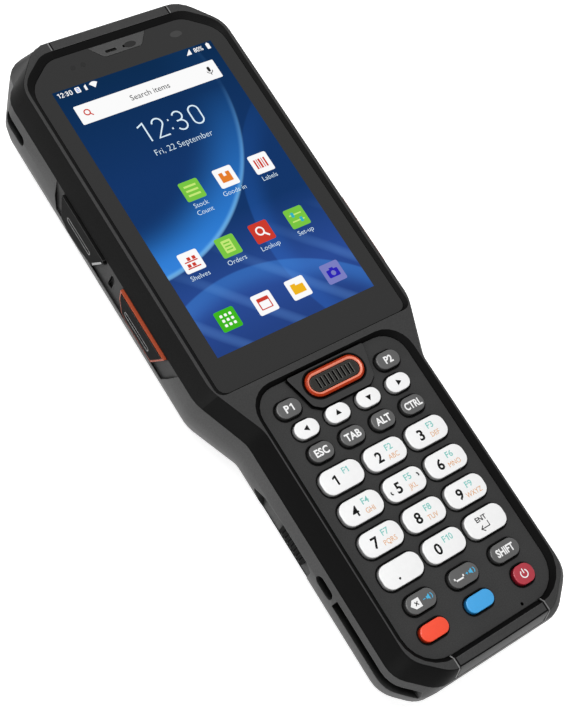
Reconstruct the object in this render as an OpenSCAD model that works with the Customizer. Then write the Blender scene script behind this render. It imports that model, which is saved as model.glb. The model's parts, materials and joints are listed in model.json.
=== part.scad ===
// Portable barcode data terminal: a shouldered head with a display, and a slimmer keypad grip.
// It lies on its back. +Z points out of the display, +Y towards the head, +X to the right.
// The origin is the centre of the body's footprint, on the surface that the back rests on.

/* [Body] */
// Overall length, head end to grip end
body_l = 203.8; // [200:0.1:208]
// Overall thickness, back to rim
body_t = 29.3; // [28.6:0.1:31]
// Width of the head across the front rim
head_w = 66; // [65:0.1:69]
// Width of the grip across the front rim
grip_w = 52.4; // [51.8:0.1:54]
// How far each flank of the head swells beyond the rim where the two shells meet
head_flare = 3; // [2.7:0.1:3.4]
// How far each flank of the grip swells beyond the rim where the two shells meet
grip_flare = 3.5; // [3.3:0.1:3.9]
// How far the head end swells beyond the rim
top_flare = 3; // [2.7:0.1:3.4]
// How far the grip end swells beyond the rim
end_flare = 1.5; // [1.3:0.1:1.9]
// Depth of the front shell, rim to parting line
front_depth = 5.4; // [5.2:0.1:5.6]
// Wall thickness of both shells
wall = 2.2; // [2:0.1:2.4]
// Length of the sloping shoulder between head and grip
waist_l = 15.8; // [14:0.1:18]
// Radius of the finger hollow across the back of the head
hollow_r = 204; // [190:1:220]
// Depth of the finger hollow
hollow_depth = 3.2; // [2.4:0.1:3.4]

/* [Display] */
// Length of the cover glass
glass_l = 105.8; // [104:0.1:107]
// Width of the cover glass
glass_w = 61.6; // [60.6:0.1:62]
// Thickness of the cover glass
glass_t = 1.1; // [0.9:0.05:1.2]
// Depth of the glass face below the rim
glass_drop = 0.8; // [0.6:0.05:0.9]
// Rim at the head end, from its outer edge to the glass
glass_margin = 4.9; // [4.6:0.1:5.2]
// Length of the display module
lcd_l = 92; // [88:0.1:93]
// Width of the display module
lcd_w = 54.4; // [52:0.1:56]
// Thickness of the display module
lcd_t = 2.6; // [2.2:0.1:2.8]

/* [Keypad] */
// Strip of shell between the glass and the keypad pocket
pocket_strip = 2.2; // [2:0.1:2.6]
// Depth of the keypad panel's face below the glass face
panel_drop = 0.7; // [0.6:0.05:0.8]
// Thickness of the keypad panel
panel_t = 1.2; // [1.1:0.05:1.3]
// Height of a resting key above the glass face
key_rise = 0.5; // [0.3:0.05:0.7]
// Travel of a key
key_travel = 0.6; // [0.4:0.05:0.7]
// Gap round each key in the panel
key_gap = 0.3; // [0.15:0.01:0.35]
// Width of a number key
digit_key_w = 12.6; // [11.6:0.1:12.7]
// Height of a number key
digit_key_h = 6.7; // [6:0.1:7]
// Width of the small keys
small_key_w = 7.2; // [6.6:0.1:7.6]
// Height of the small keys
small_key_h = 4.8; // [4.2:0.1:5]
// Width of the editing keys
edit_key_w = 9; // [8.4:0.1:9.6]
// Width of the two coloured shift keys
colour_key_w = 8.4; // [7.8:0.1:9]
// Width of the power key
power_key_w = 6.2; // [5.8:0.1:6.8]
// Column pitch of the number keys
digit_pitch_x = 14.2; // [14.1:0.05:14.6]
// Row pitch of the number keys
digit_pitch_y = 9.18; // [8.8:0.01:9.2]
// Column pitch of the small keys
small_pitch_x = 10.16; // [9.8:0.01:10.4]
// Column pitch of the bottom row
colour_pitch_x = 15.2; // [14.6:0.1:15.6]
// Half the distance between the two programmable keys
program_x = 16.5; // [16.2:0.1:17]
// Pocket edge to the middle of the scan key
scan_drop = 5.9; // [5.8:0.05:6.1]
// Pocket edge to the row of programmable keys
program_drop = 8.3; // [8:0.1:8.6]
// Programmable keys to the arrow row
arrow_drop = 6.74; // [6.6:0.02:7]
// Arrow row to the command row
command_drop = 7.02; // [6.6:0.02:7.2]
// Command row to the first number row
digit_drop = 8.18; // [8:0.02:8.3]
// Last number row to the editing row
edit_drop = 8.82; // [8.4:0.02:9]
// Editing row to the bottom row
colour_drop = 7.5; // [7.2:0.1:7.7]
// Bottom row to the pocket's end
last_drop = 8.475; // [8.2:0.005:8.8]
// Length of the oval scan key
scan_key_l = 18.6; // [17.6:0.1:19]
// Height of the oval scan key
scan_key_h = 7.6; // [7.2:0.1:7.8]
// Width of the scan key's coloured ring
scan_ring_w = 1.5; // [1.3:0.05:1.7]

/* [Sides] */
// Travel of a side scan button
side_travel = 0.6; // [0.4:0.05:0.8]
// How far the side buttons stand out of their flat
side_rise = 1; // [0.9:0.05:1.2]
// Gap round the side buttons and the latches
side_gap = 0.25; // [0.2:0.01:0.35]
// Travel of a battery latch
latch_travel = 3; // [2.4:0.1:3.2]
// Length of a battery latch's thumb piece
latch_l = 10.7; // [10:0.1:11]
// Length of a side key
side_key_l = 22.2; // [21:0.1:23]
// Height of the volume key
side_key_h = 9; // [8.6:0.1:9.4]
// Depth of the channel round the lower grip
groove_depth = 2.4; // [1.8:0.05:2.6]
// Depth of the strap slots behind their bars
slot_t = 2.1; // [1.9:0.1:2.3]

/* [Windows and port] */
// Width of the scan window in the head end
window_w = 31.6; // [30:0.1:33]
// Height of the scan window
window_h = 10.1; // [9.6:0.1:10.3]
// Length of the camera window in the back
camera_l = 24; // [22:0.1:25]
// Width of the port flap in the grip end
flap_w = 26; // [24:0.1:27]

/* [Battery] */
// Length of the battery bay
bay_l = 75; // [72:0.1:76]
// Width of the battery bay
bay_w = 45.2; // [44:0.1:45.6]
// Depth of the battery bay from the back
bay_depth = 19; // [17.6:0.1:19.2]
// Gap between the battery pack and its bay
bay_gap = 0.25; // [0.2:0.01:0.4]
// Wall of the battery pack's tray
tray_wall = 1.6; // [1.3:0.1:2]

/* [Fasteners] */
// Radius of a housing screw's thread
screw_r = 1; // [0.9:0.05:1.05]
// Length of a housing screw under its head
screw_l = 9; // [8.6:0.1:9.2]
// Radius of a housing screw's head
screw_head_r = 1.9; // [1.7:0.05:2]
// Head screws, from the middle line
screw_x = 24; // [23.6:0.1:24.4]

/* [Hidden] */
$fn = 48;
arc_n = 4;
fit_gap = 0.1;
rim_edge = 0.35;

// ---- levels, from the resting plane up ----
glass_z = body_t - glass_drop;
split_z = body_t - front_depth;
glass_bed_z = glass_z - glass_t;
deck_z = glass_bed_z - 1.7;
lcd_z = glass_bed_z - lcd_t;
panel_z = glass_z - panel_drop;
panel_bed_z = panel_z - panel_t;
key_z = glass_z + key_rise;
flange_t = 0.8;
flange_w = 0.6;
flange_z = panel_bed_z - 0.2 - flange_t;
plunger_r = 1.2;
plunger_l = 0.5;
dome_t = 0.3;
dome_gap = 0.05;
board_t = 0.8;
board_z = flange_z - plunger_l - key_travel - dome_gap - dome_t - board_t;
frame_t = 1.2;
frame_z = board_z - 0.15 - frame_t;
main_t = 1.2;
standoff_l = 1.4;
main_z = frame_z - standoff_l - main_t;
floor_z = wall;

// ---- places along the body ----
swell = 1.25;
rim_top_y = body_l / 2 - swell * top_flare;
rim_end_y = -body_l / 2 + swell * end_flare;
glass_top_y = rim_top_y - glass_margin;
glass_end_y = glass_top_y - glass_l;
glass_y = (glass_top_y + glass_end_y) / 2;
waist_top_y = glass_end_y + 2.6;
waist_end_y = waist_top_y - waist_l;
pocket_top_y = glass_end_y - pocket_strip;
pocket_end_y = rim_end_y + 2.7;
panel_slope = [1.6, 1, 1.1];
panel_w = grip_w - 1.2 - 2 * panel_slope.x;
panel_top_y = pocket_top_y - panel_slope.y;
panel_end_y = pocket_end_y + panel_slope.z;
lcd_len = min(lcd_l, glass_l - 13.8);
lcd_wide = min(lcd_w, glass_w - 7.2);
// how much longer the grip is than in the default sizes, and the keypad's rows with it
grip_fit = (glass_end_y - rim_end_y) / 87.475;
rows_l = program_drop + arrow_drop + command_drop + digit_drop + 3 * digit_pitch_y
  + edit_drop + colour_drop + last_drop;
row_fit = (pocket_top_y - pocket_end_y) / rows_l;
bay_end_y = rim_end_y + 7.3 * grip_fit;
bay_top_y = bay_end_y + bay_l;
tub_wall = 1.5;
tub_top_z = bay_depth + tub_wall;

// ---- small functions on outlines ----
function unit(v) = v / norm(v);
function turn(a) = a > 180 ? a - 360 : a < -180 ? a + 360 : a;
function reversed(v) = [for (i = [len(v) - 1 : -1 : 0]) v[i]];
function flipped(pts) = [for (p = reversed(pts)) [-p.x, p.y]];
function at_level(pts, z) = [for (p = pts) [p.x, p.y, z]];

// the arc of radius r that rounds corner q between p and s
function rounded(p, q, s, r, n) =
  let(
    u = unit(p - q), v = unit(s - q), half = acos(u * v) / 2,
    d = r / tan(half), c = q + unit(u + v) * r / sin(half),
    from = q + u * d - c, to = q + v * d - c,
    a0 = atan2(from.y, from.x), sweep = turn(atan2(to.y, to.x) - a0)
  )
  [for (i = [0 : n]) c + r * [cos(a0 + sweep * i / n), sin(a0 + sweep * i / n)]];

// a closed outline with its corners rounded
function smooth(pts, radii, n = arc_n) =
  let(m = len(pts))
  [for (i = [0 : m - 1]) each rounded(pts[(i + m - 1) % m], pts[i], pts[(i + 1) % m], radii[i], n)];

// an anticlockwise outline with every edge moved outwards by d
function grown(pts, d) =
  let(m = len(pts))
  [
    for (i = [0 : m - 1])
      let(
        u = unit(pts[i] - pts[(i + m - 1) % m]), v = unit(pts[(i + 1) % m] - pts[i]),
        a = [u.y, -u.x], b = [v.y, -v.x]
      )
      pts[i] + (a + b) * d / (1 + a * b)
  ];

// a rounded rectangle, anticlockwise
function rrect(w, h, r, c = [0, 0], n = arc_n) =
  [for (q = smooth([[w, h] / 2, [-w, h] / 2, [-w, -h] / 2, [w, -h] / 2], [r, r, r, r], n)) c + q];

// ---- small modules ----
// a solid through a stack of outlines of equal count
module loft(rings) {
  n = len(rings[0]);
  m = len(rings);
  sides = [
    for (j = [0 : m - 2], i = [0 : n - 1])
      let(k = (i + 1) % n, a = j * n)
      each [[a + i, a + n + i, a + n + k], [a + i, a + n + k, a + k]]
  ];
  bottom = [for (i = [0 : n - 1]) i];
  top = [for (i = [n - 1 : -1 : 0]) (m - 1) * n + i];
  polyhedron(points = [for (r = rings) each r], faces = concat([bottom], sides, [top]));
}
module prism(pts, z0, z1) {
  translate([0, 0, z0])
    linear_extrude(z1 - z0)
      polygon(pts);
}
// an outline in the Y-Z plane pushed through X from x0 to x1
module side_prism(pts, x0, x1) {
  translate([x0, 0, 0])
    rotate([90, 0, 90])
      linear_extrude(x1 - x0)
        polygon(pts);
}
// a box from its low corner to its high corner
module box(low, high) {
  translate(low)
    cube(high - low);
}
module post(at, r, z0, z1) {
  translate([at.x, at.y, z0])
    cylinder(r = r, h = z1 - z0);
}
module both_sides() {
  children();
  mirror([1, 0, 0])
    children();
}

// ---- the body's form: its outline swells by a share of the flare that depends on the level ----
back_profile = [
  [0, -2], [1, -1.35], [3, -0.65], [6, 0.05], [10, 0.65], [14.5, 1.15], [19.5, swell], [split_z, 1]
];
// how far each corner is cut away, across and along, at each level
cut_z = [0, 10, 14.5, 19.5, split_z, body_t];
top_cut_x = [9, 9.5, 10, 10, 16.4, 9];
top_cut_y = [12, 14, 15.4, 16, 12, 10.4];
end_cut_x = [7.2, 7.4, 7.5, 8, 9.2, 9];
end_cut_y = [6.6, 6.8, 7, 7.5, 8.2, 7.9];
function cut_at(cuts, z) = lookup(z, [for (i = [0 : 5]) [cut_z[i], cuts[i]]]);
corner_r = [9, 9, 12, 9, 8, 8];
front_slope = 0.94 / (front_depth - rim_edge);
function front_share(z) = 1 - front_slope * (z - split_z);

// corners down the right flank from head to grip, and back up the left flank
function body_corners(s, inset, z) =
  let(
    top_cut = [cut_at(top_cut_x, z), cut_at(top_cut_y, z)],
    end_cut = [cut_at(end_cut_x, z), cut_at(end_cut_y, z)],
    hx = head_w / 2 + s * head_flare - inset, gx = grip_w / 2 + s * grip_flare - inset,
    ty = rim_top_y + s * top_flare - inset, ey = rim_end_y - s * end_flare + inset,
    right = [
      [hx - top_cut.x, ty], [hx, ty - top_cut.y], [hx, waist_top_y],
      [gx, waist_end_y], [gx, ey + end_cut.y], [gx - end_cut.x, ey]
    ]
  )
  concat(right, flipped(right));
function body_outline(s, inset = 0, z = split_z) =
  reversed(smooth(body_corners(s, inset, z), concat(corner_r, reversed(corner_r))));
module body_form(profile, inset = 0) {
  loft([for (p = profile) at_level(body_outline(p[1], inset, p[0]), p[0])]);
}
module front_form(z0, z1, inset) {
  body_form([[z0, front_share(z0)], [z1, front_share(z1)]], inset);
}

// ---- housing screws: two at each end of the head, two at the grip end ----
screw_seat_z = frame_z - 5.5;
screw_head_t = 1.3;
screw_hole_r = screw_r + 0.15;
sink_r = screw_head_r + 0.3;
post_r = sink_r + 1.2;
head_screw_in = 8.2;
end_screw_in = [7.5, 3.4];
// the screws at the waist stand beside the battery's tub, just above the glass's end
waist_screw = [bay_w / 2 + tub_wall + sink_r + 0.8, glass_end_y + 2.8];
screw_places = [
  for (
    p = [
      [screw_x, rim_top_y - head_screw_in], waist_screw,
      [screw_x - end_screw_in.x, rim_end_y + end_screw_in.y]
    ],
    side = [-1, 1]
  )
    [side * p.x, p.y]
];

// ---- display ----
glass_cut = [9, 7];
glass_slope = [1.2, 2, 0.3];
function glass_outline(side = 0, top = 0, end = 0) =
  let(
    w = glass_w / 2 + side, ty = glass_top_y + top, ey = glass_end_y - end,
    right = [[w - glass_cut.x, ty], [w, ty - glass_cut.y], [w, ey]]
  )
  reversed(smooth(concat(flipped(right), right), [2.5, 8, 7, 7, 8, 2.5]));
function glass_rim(k) = glass_outline(k * glass_slope.x, k * glass_slope.y, k * glass_slope.z);
ear_y = glass_top_y - 0.3;
ear = [
  [9.2, ear_y], [-9.2, ear_y], [-6.4, ear_y - 3.5], [-5.6, ear_y - 4], [5.6, ear_y - 4], [6.4, ear_y - 3.5]
];

module display_glass() {
  color("#1c1c1e")
    difference() {
      prism(glass_outline(-fit_gap, -fit_gap, -fit_gap), glass_bed_z, glass_z);
      prism(grown(ear, fit_gap), glass_bed_z - 1, glass_z + 1);
    }
}
module lcd_panel() {
  color("#10305c")
    box(
      [-lcd_wide / 2, glass_y - lcd_len / 2, lcd_z],
      [lcd_wide / 2, glass_y + lcd_len / 2, glass_bed_z]
    );
}
module receiver_mesh() {
  color("#3c3c3c")
    difference() {
      prism(ear, glass_bed_z, glass_z + 0.05);
      for (x = [-3.3, 2.3])
        prism(rrect(3.6, 0.9, 0.4, [x, ear_y - 2.6]), glass_z - 0.7, glass_z + 1);
    }
}

// ---- keypad: [name, x, y, width, height, corner radius, colour] ----
program_y = pocket_top_y - program_drop * row_fit;
arrow_y = program_y - arrow_drop * row_fit;
command_y = arrow_y - command_drop * row_fit;
digit_y = command_y - digit_drop * row_fit;
edit_y = digit_y - (3 * digit_pitch_y + edit_drop) * row_fit;
colour_y = edit_y - colour_drop * row_fit;
scan_y = pocket_top_y - scan_drop * row_fit;
white = "#f2f2f2";
grey = "#6a6a6a";
program_names = ["key_p1", "key_p2"];
arrow_names = ["key_left", "key_up", "key_down", "key_right"];
command_names = ["key_esc", "key_tab", "key_alt", "key_ctrl"];
digit_names = [
  "key_1", "key_2", "key_3", "key_4", "key_5", "key_6",
  "key_7", "key_8", "key_9", "key_dot", "key_0", "key_enter"
];
edit_names = ["key_backspace", "key_space", "key_shift"];
function small_x(i) = (i - 1.5) * small_pitch_x;
function small_key(name, x, y, colour) = [name, x, y, small_key_w, small_key_h, 2.1, colour];
KEYS = concat(
  [for (i = [0 : 1]) small_key(program_names[i], (2 * i - 1) * program_x, program_y, grey)],
  [for (i = [0 : 3]) small_key(arrow_names[i], small_x(i), arrow_y, white)],
  [for (i = [0 : 3]) small_key(command_names[i], small_x(i), command_y, grey)],
  [
    for (i = [0 : 11])
      let(x = (i % 3 - 1) * digit_pitch_x, y = digit_y - floor(i / 3) * digit_pitch_y * row_fit)
      [digit_names[i], x, y, digit_key_w, digit_key_h, 2.6, white]
  ],
  [for (i = [0 : 2]) [edit_names[i], (i - 1) * digit_pitch_x, edit_y, edit_key_w, 4.9, 2.3, grey]],
  [
    ["key_orange", -colour_pitch_x, colour_y, colour_key_w, 4.4, 2.1, "#ff5530"],
    ["key_blue", 0, colour_y, colour_key_w, 4.4, 2.1, "#3fb0f0"],
    ["key_power", colour_pitch_x, colour_y, power_key_w, 5.2, 2.3, "#d03a48"]
  ]
);
function key_outline(k, g) =
  let(h = k[4] * row_fit, r = min(k[5], 0.47 * h))
  rrect(k[3] + 2 * g, h + 2 * g, r + g, [k[1], k[2]]);
key_edge = [0.45, 0.1, 0.55];

module key_cap(k) {
  color(k[6]) {
    loft([
      at_level(key_outline(k, 0), flange_z + flange_t),
      at_level(key_outline(k, 0), key_z - key_edge[0]),
      at_level(key_outline(k, -0.15), key_z - key_edge[1]),
      at_level(key_outline(k, -key_edge[2]), key_z)
    ]);
    prism(key_outline(k, flange_w), flange_z, flange_z + flange_t);
    post([k[1], k[2]], plunger_r, flange_z - plunger_l, flange_z);
  }
}

// ---- scan key: a coloured ring round a ribbed pad, in a raised bezel ----
bezel_rise = 1;
scan_ring_z = glass_z + 0.9;
scan_pad_z = scan_ring_z - 0.35;
function scan_outline(g) =
  let(h = scan_key_h * row_fit + 2 * g)
  rrect(scan_key_l + 2 * g, h, h / 2 - 0.01, [0, scan_y], 6);
rib_pitch = 1.35;

module scan_key_ring() {
  color("#d2562e")
    difference() {
      loft([
        at_level(scan_outline(0), flange_z + flange_t),
        at_level(scan_outline(0), scan_ring_z - 0.5),
        at_level(scan_outline(-0.2), scan_ring_z - 0.12),
        at_level(scan_outline(-0.55), scan_ring_z)
      ]);
      prism(scan_outline(-scan_ring_w), flange_z, scan_ring_z + 1);
    }
}
module scan_key_pad() {
  color("#2b2b2b")
    difference() {
      union() {
        prism(scan_outline(-scan_ring_w - fit_gap), flange_z + flange_t, scan_pad_z);
        prism(scan_outline(flange_w), flange_z, flange_z + flange_t);
        post([0, scan_y], plunger_r, flange_z - plunger_l, flange_z);
      }
      for (i = [-4 : 4])
        prism(rrect(0.55, 3 * row_fit, 0.2, [i * rib_pitch, scan_y], 2), scan_pad_z - 0.5, scan_pad_z + 1);
    }
}
bezel_top_y = panel_top_y - fit_gap;
bezel = concat(
  [[12.7, bezel_top_y], [-12.7, bezel_top_y]],
  [for (p = [[-11.2, 0.4], [-10.2, 4.6], [-8, 6.2], [8, 6.2], [10.2, 4.6], [11.2, 0.4]])
    [p.x, scan_y - p.y * row_fit]]
);
module scan_key_bezel() {
  color("#353535")
    difference() {
      prism(smooth(bezel, [0.5, 0.5, 3, 2, 2, 2, 2, 3], 3), panel_z, panel_z + bezel_rise);
      prism(scan_outline(key_gap), panel_z - 1, panel_z + bezel_rise + 1);
    }
}

function pocket_outline(k) =
  let(
    w = panel_w / 2 + k * panel_slope.x, ty = panel_top_y + k * panel_slope.y,
    ey = panel_end_y - k * panel_slope.z, top_r = 7 + k, end_r = 9.5 + 1.6 * k
  )
  smooth([[w, ty], [-w, ty], [-w, ey], [w, ey]], [top_r, top_r, end_r, end_r], 6);
function panel_outline() =
  let(w = panel_w / 2 - fit_gap, ty = panel_top_y - fit_gap, ey = panel_end_y + fit_gap)
  smooth([[w, ty], [-w, ty], [-w, ey], [w, ey]], [7, 7, 9.5, 9.5], 6);
mic_place = [10.4, panel_end_y + 1.3];

module keypad_panel() {
  color("#353535")
    translate([0, 0, panel_bed_z])
      linear_extrude(panel_t)
        difference() {
          polygon(panel_outline());
          for (k = KEYS)
            polygon(key_outline(k, key_gap));
          polygon(scan_outline(key_gap));
          translate(mic_place)
            circle(r = 0.45);
        }
}

// ---- boards and frame ----
board_w = 44.4;
board_end_y = panel_end_y + 2;
module keypad_board() {
  color("#1f5a38")
    box([-board_w / 2, board_end_y, board_z], [board_w / 2, panel_top_y - 0.2, board_z + board_t]);
}
module dome_switches() {
  color("silver") {
    for (k = KEYS)
      post([k[1], k[2]], 2, board_z + board_t, board_z + board_t + dome_t);
    post([0, scan_y], 2, board_z + board_t, board_z + board_t + dome_t);
  }
}
main_w = 54;
main_top_y = rim_top_y - head_screw_in - post_r - 0.4;
main_end_y = max(waist_screw.y + post_r + 0.4, bay_top_y + tub_wall + 1);
standoffs = [
  for (x = [-main_w / 2 + 3, main_w / 2 - 3], y = [main_end_y + 3, main_top_y - 3]) [x, y]
];
module main_board() {
  color("#1f5a38")
    union() {
      box([-main_w / 2, main_end_y, main_z], [main_w / 2, main_top_y, main_z + main_t]);
      box([-16, main_end_y + 14, main_z - 1.6], [12, main_end_y + 40, main_z]);
      box([-20, main_top_y - 28, main_z - 1.2], [18, main_top_y - 12, main_z]);
    }
}
module mid_frame() {
  color("#8c8f92")
    difference() {
      union() {
        prism(body_outline(1, wall + 2.2 + side_travel), frame_z, frame_z + frame_t);
        for (p = screw_places)
          post(p, 2.6, frame_z, frame_z + frame_t);
        for (p = standoffs)
          post(p, 2, main_z + main_t, frame_z);
      }
      for (p = screw_places)
        post(p, screw_hole_r, frame_z - 1, frame_z + frame_t + 1);
      for (y = [glass_y - 24, glass_y + 8])
        prism(rrect(34, 22, 3, [0, y]), frame_z - 1, frame_z + frame_t + 1);
      prism(rrect(22, 40, 3, [0, (bay_top_y + bay_end_y) / 2]), frame_z - 1, frame_z + frame_t + 1);
    }
}

// ---- bumpers let into the rim at each end ----
bumper_skin = 1;
bumper_top = 1.6;
bumper_z = split_z + 0.8;
top_bumper_w = 37.8;
end_bumper_w = 29.8;
seam = 0.18;
module bumper_zone(w, y0, y1) {
  difference() {
    box([-w / 2, y0, bumper_z], [w / 2, y1, body_t + 1]);
    front_form(split_z - 1, body_t - bumper_top, bumper_skin);
  }
}
top_bumper_y = glass_top_y + glass_slope.y + 0.02;
module top_bumper_zone(g) {
  bumper_zone(top_bumper_w + 2 * g, top_bumper_y - g, body_l / 2 + 1);
}
module end_bumper_zone(g) {
  bumper_zone(end_bumper_w + 2 * g, -body_l / 2 - 1, panel_end_y + g);
}
module front_outer() {
  body_form([
    [split_z, 1], [body_t - rim_edge, front_share(body_t - rim_edge)],
    [body_t, front_share(body_t - rim_edge) - 0.12]
  ]);
}
module top_bumper() {
  color("#2e2e2e")
    intersection() {
      front_outer();
      top_bumper_zone(0);
    }
}
module pocket_cut() {
  loft([at_level(pocket_outline(0), panel_z), at_level(pocket_outline(2), 2 * body_t - panel_z)]);
}
module bottom_bumper() {
  color("#2e2e2e")
    difference() {
      intersection() {
        front_outer();
        end_bumper_zone(0);
      }
      pocket_cut();
    }
}

// ---- seal between the two shells ----
seal_in = 0.7;
seal_w = 0.8;
seal_h = 0.4;
module seal_ring(g, z0, z1) {
  translate([0, 0, z0])
    linear_extrude(z1 - z0)
      difference() {
        polygon(body_outline(1, seal_in - g));
        polygon(body_outline(1, seal_in + seal_w + g));
      }
}
module housing_seal() {
  color("#d2562e")
    seal_ring(0, split_z, split_z + seal_h);
}

// ---- front housing ----
module front_housing() {
  color("#333333")
    difference() {
      front_outer();
      difference() {
        front_form(split_z - 1, deck_z, wall);
        for (p = screw_places)
          post(p, 2, frame_z + frame_t, deck_z + 1);
      }
      loft([at_level(glass_rim(0), glass_z), at_level(glass_rim(2), body_t + glass_drop)]);
      prism(glass_rim(0), glass_bed_z, glass_z + fit_gap);
      prism(
        rrect(lcd_wide + 2 * fit_gap, lcd_len + 2 * fit_gap, 0.1, [0, glass_y], 1),
        deck_z - 1, glass_bed_z + 1
      );
      pocket_cut();
      prism(pocket_outline(0), panel_bed_z, panel_z + fit_gap);
      box(
        [-panel_w / 2 + 1.5, panel_end_y + 1.5, deck_z - 1],
        [panel_w / 2 - 1.5, panel_top_y + 0.3, panel_bed_z + fit_gap]
      );
      top_bumper_zone(seam);
      end_bumper_zone(seam);
      seal_ring(0.05, split_z - 1, split_z + seal_h + 0.05);
      for (p = screw_places)
        post(p, screw_r + 0.03, split_z - 2, screw_seat_z + screw_l + 0.4);
    }
}

// ---- battery pack in the back of the grip ----
module battery_cover() {
  w = bay_w / 2 - bay_gap;
  inner = w - tray_wall;
  color("#3d3d3d")
    difference() {
      intersection() {
        body_form(back_profile);
        box([-w, bay_end_y + bay_gap, -1], [w, bay_top_y - bay_gap, bay_depth - bay_gap]);
      }
      box(
        [-inner, bay_end_y + bay_gap + tray_wall, floor_z],
        [inner, bay_top_y - bay_gap - tray_wall, bay_depth + 1]
      );
      for (i = [0 : 4])
        prism(rrect(20, 1.2, 0.5, [0, bay_top_y - 10 - 2.6 * i], 2), -1, 0.5);
    }
}
module battery_cell() {
  inner = bay_w / 2 - bay_gap - tray_wall - 0.2;
  edge = bay_gap + tray_wall + 0.2;
  color("#2a4b8c")
    box([-inner, bay_end_y + edge, floor_z], [inner, bay_top_y - edge, bay_depth - bay_gap]);
}

// ---- battery latches, one in each flank of the grip ----
latch_y = bay_end_y + 41.1 * grip_fit;
latch_face_x = grip_w / 2 + 0.5;
latch_wall_x = latch_face_x - 1.2;
latch_z = [9, 14.6];
latch_t = 1.1;
rib_n = 7;
rib_step = (latch_l - 1.3) / rib_n;
stem_l = 6;
stem_z = [12.2, 14.2];
scoop_end = latch_l / 2 + latch_travel + 0.5;
scoop = [
  [latch_y - scoop_end - 0.4, 17.6], [latch_y - scoop_end, 7],
  [latch_y + 13, 7], [latch_y + 15, 11], [latch_y + 17, 15.6], [latch_y + 13, 18.2], [latch_y + 6, 19.2],
  [latch_y - scoop_end + 2, 19.2]
];
module latch() {
  low = latch_y - latch_l / 2;
  difference() {
    union() {
      box([latch_face_x + 0.15, low, latch_z[0]], [latch_face_x + latch_t, low + latch_l, latch_z[1]]);
      box(
        [latch_wall_x - 1, latch_y - stem_l / 2, stem_z[0]],
        [latch_face_x + 0.6, latch_y + stem_l / 2, stem_z[1]]
      );
      box(
        [bay_w / 2 + tub_wall + 0.3, latch_y - 4.5, stem_z[0] - 1.4],
        [latch_wall_x - 0.2, latch_y + 4.5, stem_z[1] + 1.4]
      );
    }
    for (i = [0 : rib_n - 1])
      box(
        [latch_face_x + latch_t - 0.45, low + 0.95 + rib_step * i, latch_z[0] - 1],
        [latch_face_x + 3, low + 1.65 + rib_step * i, latch_z[1] + 1]
      );
  }
}
module latch_recess() {
  side_prism(scoop, latch_face_x, latch_face_x + 5);
  box(
    [latch_wall_x - 1, latch_y - stem_l / 2 - latch_travel - side_gap, stem_z[0] - side_gap],
    [latch_face_x + 1, latch_y + stem_l / 2 + side_gap, stem_z[1] + side_gap]
  );
}
module latch_right() {
  color("#4a4a4a")
    latch();
}
module latch_left() {
  color("#4a4a4a")
    mirror([1, 0, 0])
      latch();
}

// ---- side keys: outlines in (Y, Z), on a flat in the flank of the head ----
flat_out = 2.9;
flat_in = 2.3;
flat_x = head_w / 2 + flat_out;
key_wall_x = flat_x - flat_in;
side_top_z = split_z - 0.2;
volume_up = 5.4;
side_scan_down = 25.4;
volume_y = glass_y + volume_up;
side_scan_y = glass_y - side_scan_down;
side_fit = [side_key_l / 22.2, side_key_h / 9];
flat_h = side_key_h - 0.2;
flat_margin = [4.9, 6.1];
flat_top_y = volume_y + side_key_l / 2 + flat_margin[0];
flat_end_y = side_scan_y - side_key_l / 2 - flat_margin[1];
side_flat = [
  [flat_top_y, split_z + 1], [flat_top_y - 4, split_z - flat_h],
  [flat_end_y + 4.5, split_z - flat_h], [flat_end_y, split_z + 1]
];
volume_outline = [
  for (p = [[11.1, 0], [-10.4, 0], [-11.1, -0.8], [-7.6, -7.2], [-2, -8.6], [4.6, -9], [8.7, -7.8], [11, -1]])
    [volume_y + p.x * side_fit.x, side_top_z + p.y * side_fit.y]
];
side_scan_outline = [
  for (p = [[11.1, 0], [-11.1, 0], [-7.7, -7.4], [4.9, -7.5], [7.8, -6.8], [10.3, -3.1]])
    [side_scan_y + p.x * side_fit.x, side_top_z + p.y * side_fit.y]
];
side_notch = [
  for (p = [[14.8, -6.7], [16.8, -6.9], [16.5, -2], [14.7, -2.1]])
    [side_scan_y + p.x * side_fit.x, split_z + p.y * side_fit.y]
];
function outline_low(pts) = min([for (p = pts) p.y]);
module side_stem(pts, inner_gap) {
  ys = [for (p = pts) p.x];
  box(
    [key_wall_x - inner_gap - 0.8, min(ys) - 0.8, outline_low(pts) - 0.8],
    [key_wall_x - inner_gap, max(ys) + 0.8, side_top_z]
  );
}
module side_key_cut(pts) {
  side_prism(grown(pts, side_gap), key_wall_x - 1, flat_x + 3);
  ys = [for (p = pts) p.x];
  box([key_wall_x - 1, min(ys) + 1, side_top_z - 1], [flat_x + 3, max(ys) - 1, split_z + 1]);
}
line_z = side_top_z - side_key_h * 5 / 9;
line_t = 0.7;
module finger_line(y, l) {
  box([flat_x + side_rise - 0.3, y - l / 2, line_z], [flat_x + 5, y + l / 2, line_z + line_t]);
}
module volume_key() {
  color("#2b2b2b")
    mirror([1, 0, 0])
      difference() {
        union() {
          side_prism(volume_outline, key_wall_x - 0.7, flat_x + side_rise);
          side_stem(volume_outline, 0.6);
        }
        finger_line(volume_y + 0.6, 10.6 * side_fit.x);
      }
}
module side_scan_frame() {
  difference() {
    union() {
      side_prism(side_scan_outline, key_wall_x - 0.3, flat_x + side_rise);
      side_stem(side_scan_outline, 0.2);
    }
    side_prism(grown(side_scan_outline, -0.5), flat_x - 0.6, flat_x + side_rise + 1);
  }
}
module side_scan_insert() {
  difference() {
    side_prism(grown(side_scan_outline, -0.6), flat_x - 0.6, flat_x + side_rise + 0.2);
    finger_line(side_scan_y + 0.6, 10.8 * side_fit.x);
  }
}
module left_scan_frame() {
  color("#d2562e")
    mirror([1, 0, 0])
      side_scan_frame();
}
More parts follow.
